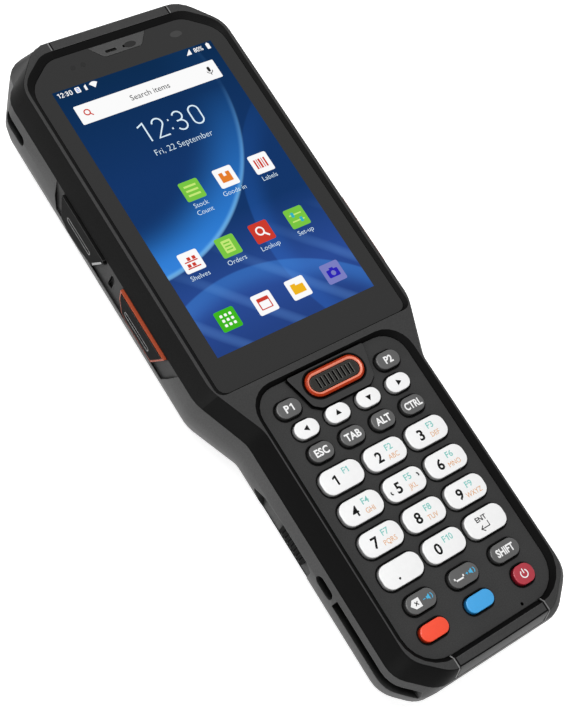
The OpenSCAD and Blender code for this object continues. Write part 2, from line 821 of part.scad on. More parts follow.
module left_scan_insert() {
  color("#3a3a3a")
    mirror([1, 0, 0])
      side_scan_insert();
}
module right_scan_frame() {
  color("#d2562e")
    side_scan_frame();
}
module right_scan_insert() {
  color("#3a3a3a")
    side_scan_insert();
}

// ---- strap slots: in through the flank and down through the back edge, behind a bar ----
head_slot_up = 41.9;
head_slot_y = glass_y + head_slot_up;
head_slot_l = 11;
head_slot = [head_slot_y - head_slot_l / 2, head_slot_y + head_slot_l / 2];
grip_slot = [bay_end_y + 23.4 * grip_fit, bay_end_y + 30.2 * grip_fit];
slot_bar = 2.1;
module strap_slot(x_face, ys, z0, z1) {
  x1 = x_face - slot_bar;
  h = z1 - z0;
  side_prism(
    rrect(ys[1] - ys[0], h, h / 2 - 0.01, [(ys[0] + ys[1]) / 2, (z0 + z1) / 2], 5), x1 - slot_t, x_face + 5
  );
  box([x1 - slot_t, ys[0] + 0.7, -1], [x1, ys[1] - 0.7, z1]);
}
module strap_block(x_face, ys) {
  box(
    [x_face - slot_bar - slot_t - 1.3, ys[0] - 1.8, -1],
    [x_face + 5, ys[1] + 1.8, split_z - 0.4]
  );
}
head_face_x = head_w / 2 + swell * head_flare;
grip_face_x = grip_w / 2 + swell * grip_flare;
channel_z = split_z - 5.9;
channel_h = 3.5;
module lower_channel(depth, grow = 0) {
  difference() {
    box(
      [23.5 - 2 * grow, -body_l, channel_z - grow],
      [body_l, grip_slot[0] - 1.2 + grow, channel_z + channel_h + grow]
    );
    translate([0, 0, channel_z - grow - 1])
      linear_extrude(channel_h + 2 * grow + 2)
        polygon(body_outline(1.18, depth, channel_z));
  }
}

// ---- scan window and engine in the head end ----
window_low = 9.7;
window_z = [window_low, window_low + window_h];
window_y = rim_top_y + 0.35;
window_t = 1.3;
module scan_window() {
  color("#401018")
    box(
      [-window_w / 2, window_y, window_z[0]],
      [window_w / 2, window_y + window_t, window_z[1]]
    );
}
module window_cut() {
  box(
    [-window_w / 2 - 0.15, window_y - 4, window_z[0] - 0.15],
    [window_w / 2 + 0.15, window_y + window_t + fit_gap, window_z[1] + 0.15]
  );
  box([-14.6, window_y, window_z[0] + 1.2], [14.6, window_y + 8, window_z[1] - 1.2]);
}
engine_w = 22;
engine_l = 9.9;
engine_z = [9.8, 20.8];
module scan_engine() {
  front = window_y - 0.3;
  color("#202428")
    difference() {
      box([-engine_w / 2, front - engine_l, engine_z[0]], [engine_w / 2, front, engine_z[1]]);
      translate([-5, front + 1, 14.5])
        rotate([90, 0, 0])
          cylinder(r = 3.2, h = 3);
      box([2, front - 2, 11.5], [9, front + 1, 17.5]);
    }
}

// ---- camera, loudspeaker and charging port ----
camera_up = 35.7;
camera_y = glass_y + camera_up;
lens_l = 4;
camera_fit = camera_l / 24;
function camera_outline(g) =
  let(h = 11 * camera_fit + 2 * g)
  rrect(camera_l + 2 * g, h, h / 2 - 0.1, [0, camera_y], 8);
module rear_camera() {
  color("#18181a")
    difference() {
      union() {
        prism(camera_outline(0), 0.3, floor_z);
        prism(camera_outline(1), floor_z, floor_z + 0.8);
        post([-5 * camera_fit, camera_y], 3.4 * camera_fit, floor_z, floor_z + lens_l);
      }
      post([-5 * camera_fit, camera_y], 2.6 * camera_fit, -1, 1.1);
      post([5.6 * camera_fit, camera_y], 1.7 * camera_fit, -1, 0.8);
    }
}
speaker = [[-27, camera_y - 6.5], [-14.5, camera_y + 3.5]];
module loudspeaker() {
  color("#26282a")
    union() {
      box(
        [speaker[0].x, speaker[0].y, floor_z],
        [speaker[1].x, speaker[1].y, floor_z + 3.4]
      );
      post((speaker[0] + speaker[1]) / 2, 3.6, floor_z + 3.4, floor_z + 4.4);
    }
}
module speaker_slots() {
  c = (speaker[0] + speaker[1]) / 2;
  for (i = [-1 : 1])
    prism(rrect(8.4, 1.1, 0.5, [c.x, c.y + 2.5 * i], 2), -1, floor_z + fit_gap);
}
flap_z = [9.6, 18.5];
flap_in_y = rim_end_y + 0.35;
port_z = 14;
module port_plug(w, h, y0, y1) {
  translate([0, y1, port_z])
    rotate([90, 0, 0])
      linear_extrude(y1 - y0)
        polygon(rrect(w, h, h / 2 - 0.01, [0, 0], 6));
}
module charge_connector() {
  color("silver")
    difference() {
      port_plug(9, 3.2, flap_in_y + 0.15, flap_in_y + 5.2);
      port_plug(8.3, 2.5, flap_in_y - 1, flap_in_y + 4.4);
    }
}
module port_flap() {
  color("#262626")
    difference() {
      intersection() {
        body_form(back_profile);
        box([-flap_w / 2, -body_l, flap_z[0]], [flap_w / 2, flap_in_y, flap_z[1]]);
      }
      both_sides()
        for (i = [0 : 2])
          box(
            [flap_w / 2 - 4.6 + 1.4 * i, -body_l, flap_z[0] + 1.4],
            [flap_w / 2 - 4 + 1.4 * i, rim_end_y - 1.35, flap_z[1] - 1.4]
          );
    }
}
module port_recess() {
  box(
    [-flap_w / 2 - 0.2, -body_l, flap_z[0] - 0.25],
    [flap_w / 2 + 0.2, flap_in_y + fit_gap, flap_z[1] + 0.25]
  );
  port_plug(9.3, 3.5, flap_in_y - 1, flap_in_y + 8);
}

module housing_screws() {
  color("#55585c")
    for (p = screw_places) {
      difference() {
        post(p, screw_head_r, screw_seat_z - screw_head_t, screw_seat_z);
        post(p, 0.9, screw_seat_z - screw_head_t - 1, screw_seat_z - 0.6);
      }
      post(p, screw_r, screw_seat_z, screw_seat_z + screw_l);
    }
}

// ---- rear housing ----
hollow_y = glass_y - 8.1;
hollow_n = 20;
module hollow_form(skin) {
  centre_z = hollow_depth - hollow_r;
  reach = acos((hollow_r - hollow_depth) / (hollow_r + skin)) * 1.02;
  arc = [
    for (i = [0 : hollow_n])
      let(a = 90 - reach + 2 * reach * i / hollow_n)
      [hollow_y + (hollow_r + skin) * cos(a), centre_z + (hollow_r + skin) * sin(a)]
  ];
  side_prism(arc, -body_l, body_l);
}
module rear_cavity() {
  body_form(
    [
      [floor_z, -0.95], [6, 0.05], [10, 0.65], [14.5, 1.15], [19.5, swell],
      [split_z, 1], [split_z + 1, 1 - 0.057]
    ],
    wall
  );
}
// what stands inside the rear shell: tub round the battery, posts, blocks and seats
module rear_inner() {
  tub_x = bay_w / 2 + tub_wall;
  hollow_form(wall);
  box([-tub_x, bay_end_y - tub_wall, -1], [tub_x, bay_top_y + tub_wall, tub_top_z]);
  for (p = screw_places)
    post(p, post_r, -1, frame_z);
  box([-15, -body_l, flap_z[0] - 2], [15, flap_in_y + wall, flap_z[1] + 2]);
  box([-7, window_y - 10, -1], [7, window_y - 1, engine_z[0]]);
  both_sides() {
    lower_channel(groove_depth + 1.1, 1);
    strap_block(head_face_x, head_slot);
    strap_block(grip_face_x, grip_slot);
    side_prism(grown(scoop, 2), latch_wall_x, latch_face_x + 5);
    box([key_wall_x, flat_end_y - 2, split_z - 11], [flat_x + 5, flat_top_y + 2, split_z + 2]);
  }
}
module rear_housing() {
  color("#4a4a4a")
    difference() {
      body_form(back_profile);
      difference() {
        rear_cavity();
        rear_inner();
      }
      hollow_form(0);
      box([-bay_w / 2, bay_end_y, -1], [bay_w / 2, bay_top_y, bay_depth]);
      for (p = screw_places) {
        post(p, sink_r, -1, screw_seat_z);
        post(p, screw_hole_r, screw_seat_z - 1, frame_z + 1);
      }
      window_cut();
      port_recess();
      prism(camera_outline(0.15), -1, floor_z + 1);
      speaker_slots();
      both_sides() {
        strap_slot(head_face_x, head_slot, split_z - 6.4, split_z - 2.9);
        strap_slot(grip_face_x, grip_slot, split_z - 5.9, split_z - 2.4);
        lower_channel(groove_depth);
        latch_recess();
        side_prism(side_flat, flat_x, flat_x + 5);
        side_key_cut(side_scan_outline);
      }
      mirror([1, 0, 0]) {
        side_key_cut(volume_outline);
        side_prism(side_notch, flat_x - 1, flat_x + 5);
      }
    }
}

front_housing();
rear_housing();
top_bumper();
bottom_bumper();
display_glass();
lcd_panel();
receiver_mesh();
keypad_panel();
scan_key_bezel();
keypad_board();
dome_switches();
main_board();
mid_frame();
scan_engine();
scan_window();
rear_camera();
loudspeaker();
charge_connector();
housing_seal();
housing_screws();
scan_key_ring();
scan_key_pad();
left_scan_frame();
left_scan_insert();
right_scan_frame();
right_scan_insert();
volume_key();
latch_left();
latch_right();
battery_cover();
battery_cell();
port_flap();
for (k = KEYS)
  key_cap(k);
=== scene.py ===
# Portable barcode data terminal, dressed for the camera.
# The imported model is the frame: it gives every solid its place, in metres, with the back on z = 0.
# Each section below finishes one piece or group of pieces, in the order in which they are put together.
import json
import math

import bmesh
import bpy
from mathutils import Matrix, Vector

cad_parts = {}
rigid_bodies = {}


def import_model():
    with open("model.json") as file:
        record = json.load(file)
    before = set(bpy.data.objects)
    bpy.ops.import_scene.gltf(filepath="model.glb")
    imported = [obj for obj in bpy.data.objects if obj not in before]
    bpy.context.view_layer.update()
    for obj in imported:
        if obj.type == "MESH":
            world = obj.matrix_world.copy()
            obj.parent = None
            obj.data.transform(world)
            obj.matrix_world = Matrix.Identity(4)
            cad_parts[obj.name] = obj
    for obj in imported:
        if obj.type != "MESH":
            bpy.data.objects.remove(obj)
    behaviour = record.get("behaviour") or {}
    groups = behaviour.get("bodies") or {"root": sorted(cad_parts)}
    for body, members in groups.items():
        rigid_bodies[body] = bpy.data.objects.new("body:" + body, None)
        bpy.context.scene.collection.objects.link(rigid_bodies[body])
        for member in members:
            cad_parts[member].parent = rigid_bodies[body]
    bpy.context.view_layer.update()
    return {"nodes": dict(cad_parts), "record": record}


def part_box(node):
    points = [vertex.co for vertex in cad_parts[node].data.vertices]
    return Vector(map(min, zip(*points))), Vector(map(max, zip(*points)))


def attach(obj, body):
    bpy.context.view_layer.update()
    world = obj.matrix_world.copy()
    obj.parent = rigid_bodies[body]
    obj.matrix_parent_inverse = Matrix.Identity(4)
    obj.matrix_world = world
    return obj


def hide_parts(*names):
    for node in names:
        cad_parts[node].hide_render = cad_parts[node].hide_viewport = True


for leftover in list(bpy.data.objects):
    bpy.data.objects.remove(leftover)
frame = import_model()
cad = frame["nodes"]
MM = 0.001

# ---- Camera ----
# A long lens above the left of the grip, which looks down along the face of the terminal.
lens = bpy.data.cameras.new("long_lens")
lens.lens = 75.08
lens.sensor_width = 36
lens.clip_start = 0.01
camera = bpy.data.objects.new("camera", lens)
camera.matrix_world = Matrix((
    (0.79568, 0.37689, -0.47418, -0.189858),
    (-0.52497, 0.81960, -0.22947, -0.097116),
    (0.30216, 0.43152, 0.85000, 0.353299),
    (0, 0, 0, 1),
))
bpy.context.scene.collection.objects.link(camera)
bpy.context.scene.camera = camera


# ---- Front shell, end bumpers, keypad panel and scan key bezel ----
# The shell is charcoal PC/ABS, injection moulded in a spark-eroded tool, and screwed down from behind.
# The bumpers are harder caps let into the rim; the panel lies in the shell's pocket round the keys.
def linear(code):
    """An sRGB hex value as a linear colour."""
    levels = [int(code[i:i + 2], 16) / 255 for i in (1, 3, 5)]
    return [v / 12.92 if v <= 0.04045 else ((v + 0.055) / 1.055) ** 2.4 for v in levels] + [1.0]


def add(owner, kind, inputs=None, **settings):
    """One node: its settings, then a value or a link for each input named."""
    tree = owner if isinstance(owner, bpy.types.NodeTree) else owner.node_tree
    node = tree.nodes.new(kind)
    for name, value in settings.items():
        setattr(node, name, value)
    for name, value in (inputs or {}).items():
        if isinstance(value, bpy.types.NodeSocket):
            tree.links.new(value, node.inputs[name])
        else:
            node.inputs[name].default_value = value
    return node


def blank_material(name):
    material = bpy.data.materials.new(name)
    material.use_nodes = True
    material.node_tree.nodes.clear()
    return material


def moulded_plastic(name, colour, roughness, shine=0.15, grit=0.32, depth=0.012, edge_wear_and_highlight=0.08, crevice_shade=0.15):
    """Thermoplastic out of a spark-eroded mould: an even colour under a fine grit, edges paled by handling
    and by a painted highlight, and painted shade in crevices. The real grit is about 0.1 mm, and is drawn
    coarser so that it shows."""
    material = blank_material(name)
    place = add(material, "ShaderNodeTexCoord").outputs["Object"]
    cloud = add(material, "ShaderNodeTexNoise", {"Vector": place, "Scale": 1 / (22 * MM), "Detail": 3})
    grain = add(material, "ShaderNodeTexNoise", {"Vector": place, "Scale": 1 / (grit * MM), "Detail": 2})
    rounded = add(material, "ShaderNodeBevel", {"Radius": 0.22 * MM}, samples=4)
    flat = add(material, "ShaderNodeNewGeometry")
    turned = add(material, "ShaderNodeVectorMath", {
        0: rounded.outputs[0], 1: flat.outputs["Normal"],
    }, operation="DOT_PRODUCT")
    # the rounded edges are paled towards white: partly wear from handling, partly a painted highlight
    edge_wear_and_highlight_mask = add(material, "ShaderNodeMapRange", {
        "Value": turned.outputs["Value"], "From Min": 0.995, "From Max": 0.8, "To Max": edge_wear_and_highlight,
    })
    tone = add(material, "ShaderNodeMapRange", {
        "Value": cloud.outputs[0], "From Min": 0.3, "From Max": 0.7, "To Min": 0.93, "To Max": 1.07,
    })
    speck = add(material, "ShaderNodeMapRange", {
        "Value": grain.outputs[0], "From Min": 0.3, "From Max": 0.7, "To Min": 0.86, "To Max": 1.14,
    })
    # painted shade: the colour darkens where the surface is hemmed in, in crevices, slots and corners
    open_air = add(material, "ShaderNodeAmbientOcclusion", {"Distance": 5 * MM}, samples=8)
    painted_crevice_shade = add(material, "ShaderNodeMapRange", {
        "Value": open_air.outputs["AO"], "From Min": 0.5, "From Max": 0.88, "To Min": crevice_shade,
    })
    mottle = add(material, "ShaderNodeMath", {
        0: tone.outputs[0], 1: speck.outputs[0],
    }, operation="MULTIPLY")
    level = add(material, "ShaderNodeMath", {
        0: mottle.outputs[0], 1: painted_crevice_shade.outputs[0],
    }, operation="MULTIPLY")
    even = add(material, "ShaderNodeMix", {
        "Factor": 1.0, 6: linear(colour), 7: level.outputs[0],
    }, data_type="RGBA", blend_type="MULTIPLY")
    edges = add(material, "ShaderNodeMix", {
        "Factor": edge_wear_and_highlight_mask.outputs[0], 6: even.outputs[2], 7: linear("#ffffff"),
    }, data_type="RGBA")
    bump = add(material, "ShaderNodeBump", {
        "Height": grain.outputs[0], "Distance": depth * MM, "Normal": rounded.outputs[0],
    })
    finish = add(material, "ShaderNodeBsdfPrincipled", {
        "Base Color": edges.outputs[2], "Roughness": roughness, "Specular IOR Level": shine,
        "Normal": bump.outputs[0],
    })
    add(material, "ShaderNodeOutputMaterial", {"Surface": finish.outputs[0]})
    return material


# Facets of one curved face are shaded as one, and real edges stay sharp.
curved = bpy.data.node_groups.new("curved_faces", "GeometryNodeTree")
curved.interface.new_socket("Geometry", in_out="INPUT", socket_type="NodeSocketGeometry")
curved.interface.new_socket("Geometry", in_out="OUTPUT", socket_type="NodeSocketGeometry")
SHARP_FROM = math.radians(28)
came_in = add(curved, "NodeGroupInput")
plain = add(curved, "GeometryNodeRemoveAttribute", {
    "Geometry": came_in.outputs[0], "Name": "custom_normal",
})
joined = add(curved, "GeometryNodeMergeByDistance", {
    "Geometry": plain.outputs[0], "Distance": 0.002 * MM,
})
all_smooth = add(curved, "GeometryNodeSetShadeSmooth", {
    "Geometry": joined.outputs[0], "Shade Smooth": True,
}, domain="FACE")
angle = add(curved, "GeometryNodeInputMeshEdgeAngle")
gentle = add(curved, "FunctionNodeCompare", {
    0: angle.outputs["Unsigned Angle"], 1: SHARP_FROM,
}, operation="LESS_THAN")
sharp_edges = add(curved, "GeometryNodeSetShadeSmooth", {
    "Geometry": all_smooth.outputs[0], "Shade Smooth": gentle.outputs[0],
}, domain="EDGE")
add(curved, "NodeGroupOutput", {0: sharp_edges.outputs[0]})


def finish_nodes(material, *names):
    """CAD nodes that keep their own shape get their material, and smooth shading on curved faces."""
    for name in names:
        solid = cad[name]
        solid.data.materials.clear()
        solid.data.materials.append(material)
        solid.modifiers.new("curved_faces", "NODES").node_group = curved


# The rim's flat face keeps the mould's grit. The chamfer round the head takes a darker copy of it as painted
# shade; the slopes down to the glass and the keypad, and the chamfer round the grip, are painted black as
# shade.
# The bottom bumper's outer faces are all alike. A face is flat where its normal rises past FLAT, and a wall
# below WALL.
FLAT, WALL = 0.98, 0.15
RIM, CHAMFER, SLOPE = range(3)
rim_abs = moulded_plastic("charcoal_abs_rim", "#363636", 0.5, edge_wear_and_highlight=0.05, crevice_shade=0.5)
bumper_abs = moulded_plastic("bumper_abs", "#383838", 0.45, edge_wear_and_highlight=0.16, crevice_shade=0.5)
# darker copies of the rim's plastic, as painted shade; the black one also fills dark seam gaps and lines
chamfer_shade_abs = moulded_plastic("charcoal_abs_chamfer_shade", "#161616", 0.5, 0.06, edge_wear_and_highlight=0.02)
black_shade_and_gaps = moulded_plastic("black_abs_shade_and_gaps", "#060606", 0.5, 0.06, edge_wear_and_highlight=0.0)
finish_nodes(rim_abs, "front_housing")
finish_nodes(bumper_abs, "top_bumper", "bottom_bumper")
seats = [[corner.copy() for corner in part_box(name)] for name in ("display_glass", "keypad_panel")]
neck_y = (seats[0][0].y + seats[1][1].y) / 2
for name in ("front_housing", "top_bumper", "bottom_bumper"):
    shell = cad[name].data
    shell.materials.append(chamfer_shade_abs)
    shell.materials.append(black_shade_and_gaps)
    for face in shell.polygons:
        on_grip = face.center.y < neck_y
        low, high = seats[on_grip]
        outward = (face.center - (low + high) / 2).xy.dot(face.normal.xy) > 0
        # the flat rim keeps its colour; the other faces take the painted shade
        if face.normal.z > FLAT or (outward and name == "bottom_bumper"):
            face.material_index = RIM
        elif on_grip or (face.normal.z > WALL and not outward):
            face.material_index = SLOPE
        else:
            face.material_index = CHAMFER

# The panel and the bezel are the rim's plastic too, with their edges and walls painted black as shade.
panel_abs = moulded_plastic("panel_abs", "#343434", 0.5, edge_wear_and_highlight=0.03, crevice_shade=0.3)
finish_nodes(panel_abs, "keypad_panel", "scan_key_bezel")
for name in ("keypad_panel", "scan_key_bezel"):
    panel = cad[name].data
    panel.materials.append(black_shade_and_gaps)
    for face in panel.polygons:
        face.material_index = int(face.normal.z <= FLAT)


def stroke(points, width):
    """The outline of a line of even width through the points, anticlockwise."""
    spots = [Vector(point) for point in points]
    legs = [(b - a).normalized() for a, b in zip(spots, spots[1:])]
    left, right = [], []
    for spot, come, go in zip(spots, legs[:1] + legs, legs + legs[-1:]):
        out = Vector((-come.y - go.y, come.x + go.x)) * width / 2 / max(1 + come.dot(go), 0.5)
        left.append(tuple(spot + out))
        right.append(tuple(spot - out))
    return right + left[::-1]


def prism(form, outline, low, high, slot=0, across=False):
    """A closed prism in millimetres, added to a bmesh. It stands on an outline in x and y, or lies across
    the body on an outline in y and z."""
    rings = [
        [form.verts.new(Vector((h, a, b) if across else (a, b, h)) * MM) for a, b in outline]
        for h in (low, high)
    ]
    count = len(outline)
    faces = [form.faces.new(rings[0][::-1]), form.faces.new(rings[1])]
    faces += [
        form.faces.new((rings[0][i], rings[0][(i + 1) % count], rings[1][(i + 1) % count], rings[1][i]))
        for i in range(count)
    ]
    for face in faces:
        face.material_index = slot


def piece(name, form, materials, body, smooth=False):
    """An object made from a bmesh, which rides on a body and takes the finishes given."""
    mesh = bpy.data.meshes.new(name)
    form.to_mesh(mesh)
    form.free()
    for material in materials:
        mesh.materials.append(material)
    if smooth:
        mesh.shade_smooth()
        mesh.set_sharp_from_angle(angle=SHARP_FROM)
    made = bpy.data.objects.new(name, mesh)
    bpy.context.scene.collection.objects.link(made)
    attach(made, body)
    return made


# Each seam between a bumper and the rim is a dark gap with a pale painted highlight on the rim's side, from
# the inner edge over the top and down the leaning end. GAP_AT and HIGHLIGHT_AT are distances from the
# bumper's side, SEAM_IN is its depth under the top, SEAM_BEND the bend at the top edge, and the end leans in
# by its LEAN.
GAP_AT, HIGHLIGHT_AT = (-0.2, 0.26), (0.26, 0.6)
SEAM_T, SEAM_IN, SEAM_BEND = 0.24, 0.08, 0.42
TOP_LEAN, BOTTOM_LEAN = 2.37, 1.19
# a pale grey that stands in for light caught by the seam's edge: a painted highlight
seam_highlight_abs = moulded_plastic("seam_painted_highlight", "#7c7c7c", 0.45, edge_wear_and_highlight=0.0, crevice_shade=1.0)
seam_lines = bmesh.new()
for name, head in (("top_bumper", 1), ("bottom_bumper", -1)):
    low, high = (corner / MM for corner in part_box(name))
    seam_z = high.z - SEAM_IN
    if head > 0:
        outer, lean = high.y, TOP_LEAN
        seam = [(low.y + 0.1, seam_z)]
    else:
        outer, lean = low.y, BOTTOM_LEAN
        seam = [(high.y, high.z - 1.0), (high.y - 1.07, seam_z)]
    seam += [
        (outer - head * (lean + SEAM_BEND), seam_z),
        (outer - head * (lean + 0.1), high.z - SEAM_BEND),
        (outer - head * 0.1, low.z + 0.15),
    ]
    for side in (-1, 1):
        for (near, far), slot in ((HIGHLIGHT_AT, 0), (GAP_AT, 1)):
            span = sorted((side * (high.x + near), side * (high.x + far)))
            prism(seam_lines, stroke(seam, SEAM_T), *span, slot, across=True)

# The bottom bumper's outer top edge, which bows a little, is a dark line.
EDGE_IN, EDGE_BOW, EDGE_T = 1.56, 0.17, 0.36
EDGE_DEPTH, EDGE_PROUD = 0.6, 0.03
low, high = (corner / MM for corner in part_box("bottom_bumper"))
edge_line = [
    (share * high.x, low.y + EDGE_IN + EDGE_BOW * share ** 2) for share in (-1, -0.5, 0, 0.5, 1)
]
prism(seam_lines, stroke(edge_line, EDGE_T), high.z - EDGE_DEPTH, high.z + EDGE_PROUD, 1)
piece("seam_lines_and_highlights", seam_lines, [seam_highlight_abs, black_shade_and_gaps], "root")


# ---- Rear shell, battery pack and latches ----
# A lighter grey PC/ABS with a coarser grit, which carries the flanks, the strap slots and the back. The
# flats round the side keys and the head's end are smoother, and painted darker as shade. The battery pack's
# tray is moulded in the same plastic, and the two ribbed latches, which slide in the flanks, in a black one.
grey_abs = moulded_plastic("grey_abs", "#454545", 0.5, grit=0.42, depth=0.02, edge_wear_and_highlight=0.1, crevice_shade=0.02)
grey_abs_shade = moulded_plastic("grey_abs_painted_shade", "#323232", 0.45, 0.08, edge_wear_and_highlight=0.03)
tray_abs = moulded_plastic("tray_abs", "#444444", 0.52, grit=0.42, depth=0.02)
latch_abs = moulded_plastic("latch_abs", "#121212", 0.5, 0.015, edge_wear_and_highlight=0.04)
finish_nodes(grey_abs, "rear_housing")
HEAD_END, TOWARDS_HEAD = 80, 0.3
SIDE_KEY_OUT, SAME_PLANE = 1.2, 0.05
side_flat_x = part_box("right_scan_insert")[1].x - SIDE_KEY_OUT * MM
rear_mesh = cad["rear_housing"].data
rear_mesh.materials.append(grey_abs_shade)
# the side flats and the head's end take the darker copy, as painted shade
for face in rear_mesh.polygons:
    in_flat = abs(abs(face.center.x) - side_flat_x) < SAME_PLANE * MM
    on_side_flat = in_flat and abs(face.normal.x) > FLAT
    on_head_end = face.center.y > HEAD_END * MM and face.normal.y > TOWARDS_HEAD
    face.material_index = int(on_side_flat or on_head_end)
finish_nodes(tray_abs, "battery_cover")
finish_nodes(latch_abs, "latch_left", "latch_right")


# ---- Pieces inside the closed housing ----
# Boards, frame, engine, cells and seal show only where a pack, a flap or a pressed key opens a gap.
# They are finished all the same: solder mask, die-cast alloy, shrink film and moulded silicone.
def coated(name, colour, roughness, metallic=0.0, ripple=1.5, depth=0.01, coat=0.0):
    """Lacquer, film, glass or sheet metal: an even colour, with a slow ripple, ripple millimetres across,
    that bends and varies its gloss a little."""
    material = blank_material(name)
    place = add(material, "ShaderNodeTexCoord").outputs["Object"]
    waves = add(material, "ShaderNodeTexNoise", {"Vector": place, "Scale": 1 / (ripple * MM), "Detail": 4})
    gloss = add(material, "ShaderNodeMapRange", {
        "Value": waves.outputs[0], "To Min": roughness * 0.8, "To Max": roughness * 1.2,
    })
    bump = add(material, "ShaderNodeBump", {"Height": waves.outputs[0], "Distance": depth * MM})
    finish = add(material, "ShaderNodeBsdfPrincipled", {
        "Base Color": linear(colour), "Metallic": metallic, "Roughness": gloss.outputs[0],
        "Coat Weight": coat, "Coat Roughness": 0.06, "Normal": bump.outputs[0],
    })
    add(material, "ShaderNodeOutputMaterial", {"Surface": finish.outputs[0]})
    return material


finish_nodes(coated("solder_mask", "#1f5a38", 0.3, coat=0.5), "keypad_board", "main_board")
finish_nodes(coated("die_cast_alloy", "#8c8f92", 0.45, metallic=1.0, ripple=0.8), "mid_frame")
stamped_steel = coated("stamped_steel", "#c4c4c4", 0.25, metallic=1.0, ripple=3)
finish_nodes(stamped_steel, "dome_switches", "charge_connector")
finish_nodes(coated("black_steel", "#4a4c4f", 0.35, metallic=1.0, ripple=0.5), "housing_screws")
finish_nodes(coated("shrink_film", "#2a4b8c", 0.25, ripple=4, depth=0.05, coat=0.6), "battery_cell")
finish_nodes(coated("engine_plastic", "#202428", 0.5, ripple=0.6), "scan_engine", "loudspeaker")
finish_nodes(coated("silicone_seal", "#b8522e", 0.6), "housing_seal")
finish_nodes(coated("polariser", "#10305c", 0.2, coat=1.0), "lcd_panel")
finish_nodes(coated("filter_window", "#2a0a10", 0.08, ripple=9, depth=0.004, coat=1.0), "scan_window")
finish_nodes(coated("camera_glass", "#101012", 0.1, ripple=9, depth=0.004, coat=1.0), "rear_camera")


# ---- Cover glass, receiver insert and sensor windows ----
# One sheet of hardened glass, back-printed in charcoal round the display and bonded into the rim.
# The receiver insert is a lighter moulded plate with a slit. Dots and ovals are sensor windows and a lamp.
def printed_glass(name, colour):
    """Ink seen through polished glass: an even dark colour under a hard skin, whose gloss fingers have
    dulled in patches about 40 mm across."""
    material = blank_material(name)
    place = add(material, "ShaderNodeTexCoord").outputs["Object"]
    cloud = add(material, "ShaderNodeTexNoise", {"Vector": place, "Scale": 1 / (40 * MM), "Detail": 2})
    tone = add(material, "ShaderNodeMapRange", {"Value": cloud.outputs[0], "To Min": 0.1, "To Max": 0.16})
    finish = add(material, "ShaderNodeBsdfPrincipled", {
        "Base Color": linear(colour), "Roughness": tone.outputs[0], "Specular IOR Level": 0.3,
    })
    add(material, "ShaderNodeOutputMaterial", {"Surface": finish.outputs[0]})
    return material


border_glass = printed_glass("border_glass", "#1d1d1d")
finish_nodes(border_glass, "display_glass")
finish_nodes(moulded_plastic("insert_abs", "#474747", 0.45, depth=0.006), "receiver_mesh")
glass_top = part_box("display_glass")[1].z / MM


def ring_of(radius, at=(0, 0), sides=24, start=0.0, squash=1.0):
    """Points of a circle or an oval in millimetres, anticlockwise."""
    return [
        (at[0] + radius * math.cos(start + math.tau * i / sides),
         at[1] + radius * squash * math.sin(start + math.tau * i / sides))
        for i in range(sides)
    ]


lens_ink = printed_glass("lens_ink", "#141414")
lamp_ink = printed_glass("lamp_ink", "#363636")
windows = bmesh.new()
SKIN = 0.02
SENSOR_Y = 88.85
for radius, x, squash, slot in ((0.75, -16.3, 1.0, 0), (0.75, -13.1, 1.0, 0), (1.9, 17.4, 0.55, 1)):
    window = ring_of(radius, (x, SENSOR_Y), squash=squash)
    prism(windows, window, glass_top - SKIN, glass_top + SKIN, slot)
ear_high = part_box("receiver_mesh")[1] / MM
lamp_window = ring_of(1.9, (2.9, ear_high.y - 2.6), squash=0.5)
prism(windows, lamp_window, ear_high.z - 0.3, ear_high.z + SKIN, 0)
piece("sensor_windows", windows, [lens_ink, lamp_ink], "root")


# ---- Picture on the display ----
# The lit display under the glass, drawn as thin films on its face: a deep blue ground with soft arcs of
# light, a status line, a search field, the time, and rows of plain app tiles. All of it is generic.
DISPLAY_W, DISPLAY_H = 51.84, 86.4
DISPLAY_Y = 40.25
PICTURE = 0.03
FILM = 0.02
GLOW = 0.96
picture_z = glass_top + PICTURE


def lit(name, colour):
    """A colour of the picture: even light from behind a dark pane, which mirrors next to nothing."""
    material = blank_material(name)
    finish = add(material, "ShaderNodeBsdfPrincipled", {
        "Base Color": linear("#040404"), "Roughness": 0.13, "Specular IOR Level": 0.01,
        "Emission Color": linear(colour), "Emission Strength": GLOW,
    })
    add(material, "ShaderNodeOutputMaterial", {"Surface": finish.outputs[0]})
    return material


ground = blank_material("display_ground")
spot = add(ground, "ShaderNodeTexCoord").outputs["Object"]
axes = add(ground, "ShaderNodeSeparateXYZ", {"Vector": spot})
shade = linear("#062b52")
for colour, start, stop in (("#10356a", 42, 10), ("#2a4c98", -8, -30), ("#244285", -30, -42)):
    depth = add(ground, "ShaderNodeMapRange", {
        "Value": axes.outputs["Y"],
        "From Min": (DISPLAY_Y + start) * MM, "From Max": (DISPLAY_Y + stop) * MM,
    })
    shade = add(ground, "ShaderNodeMix", {
        "Factor": depth.outputs[0], 6: shade, 7: linear(colour),
    }, data_type="RGBA").outputs[2]


def light_on(shade, glow, colour):
    """The picture's shade so far, with light of a colour screened over it."""
    return add(ground, "ShaderNodeMix", {
        "Factor": glow, 6: shade, 7: linear(colour),
    }, data_type="RGBA", blend_type="SCREEN").outputs[2]


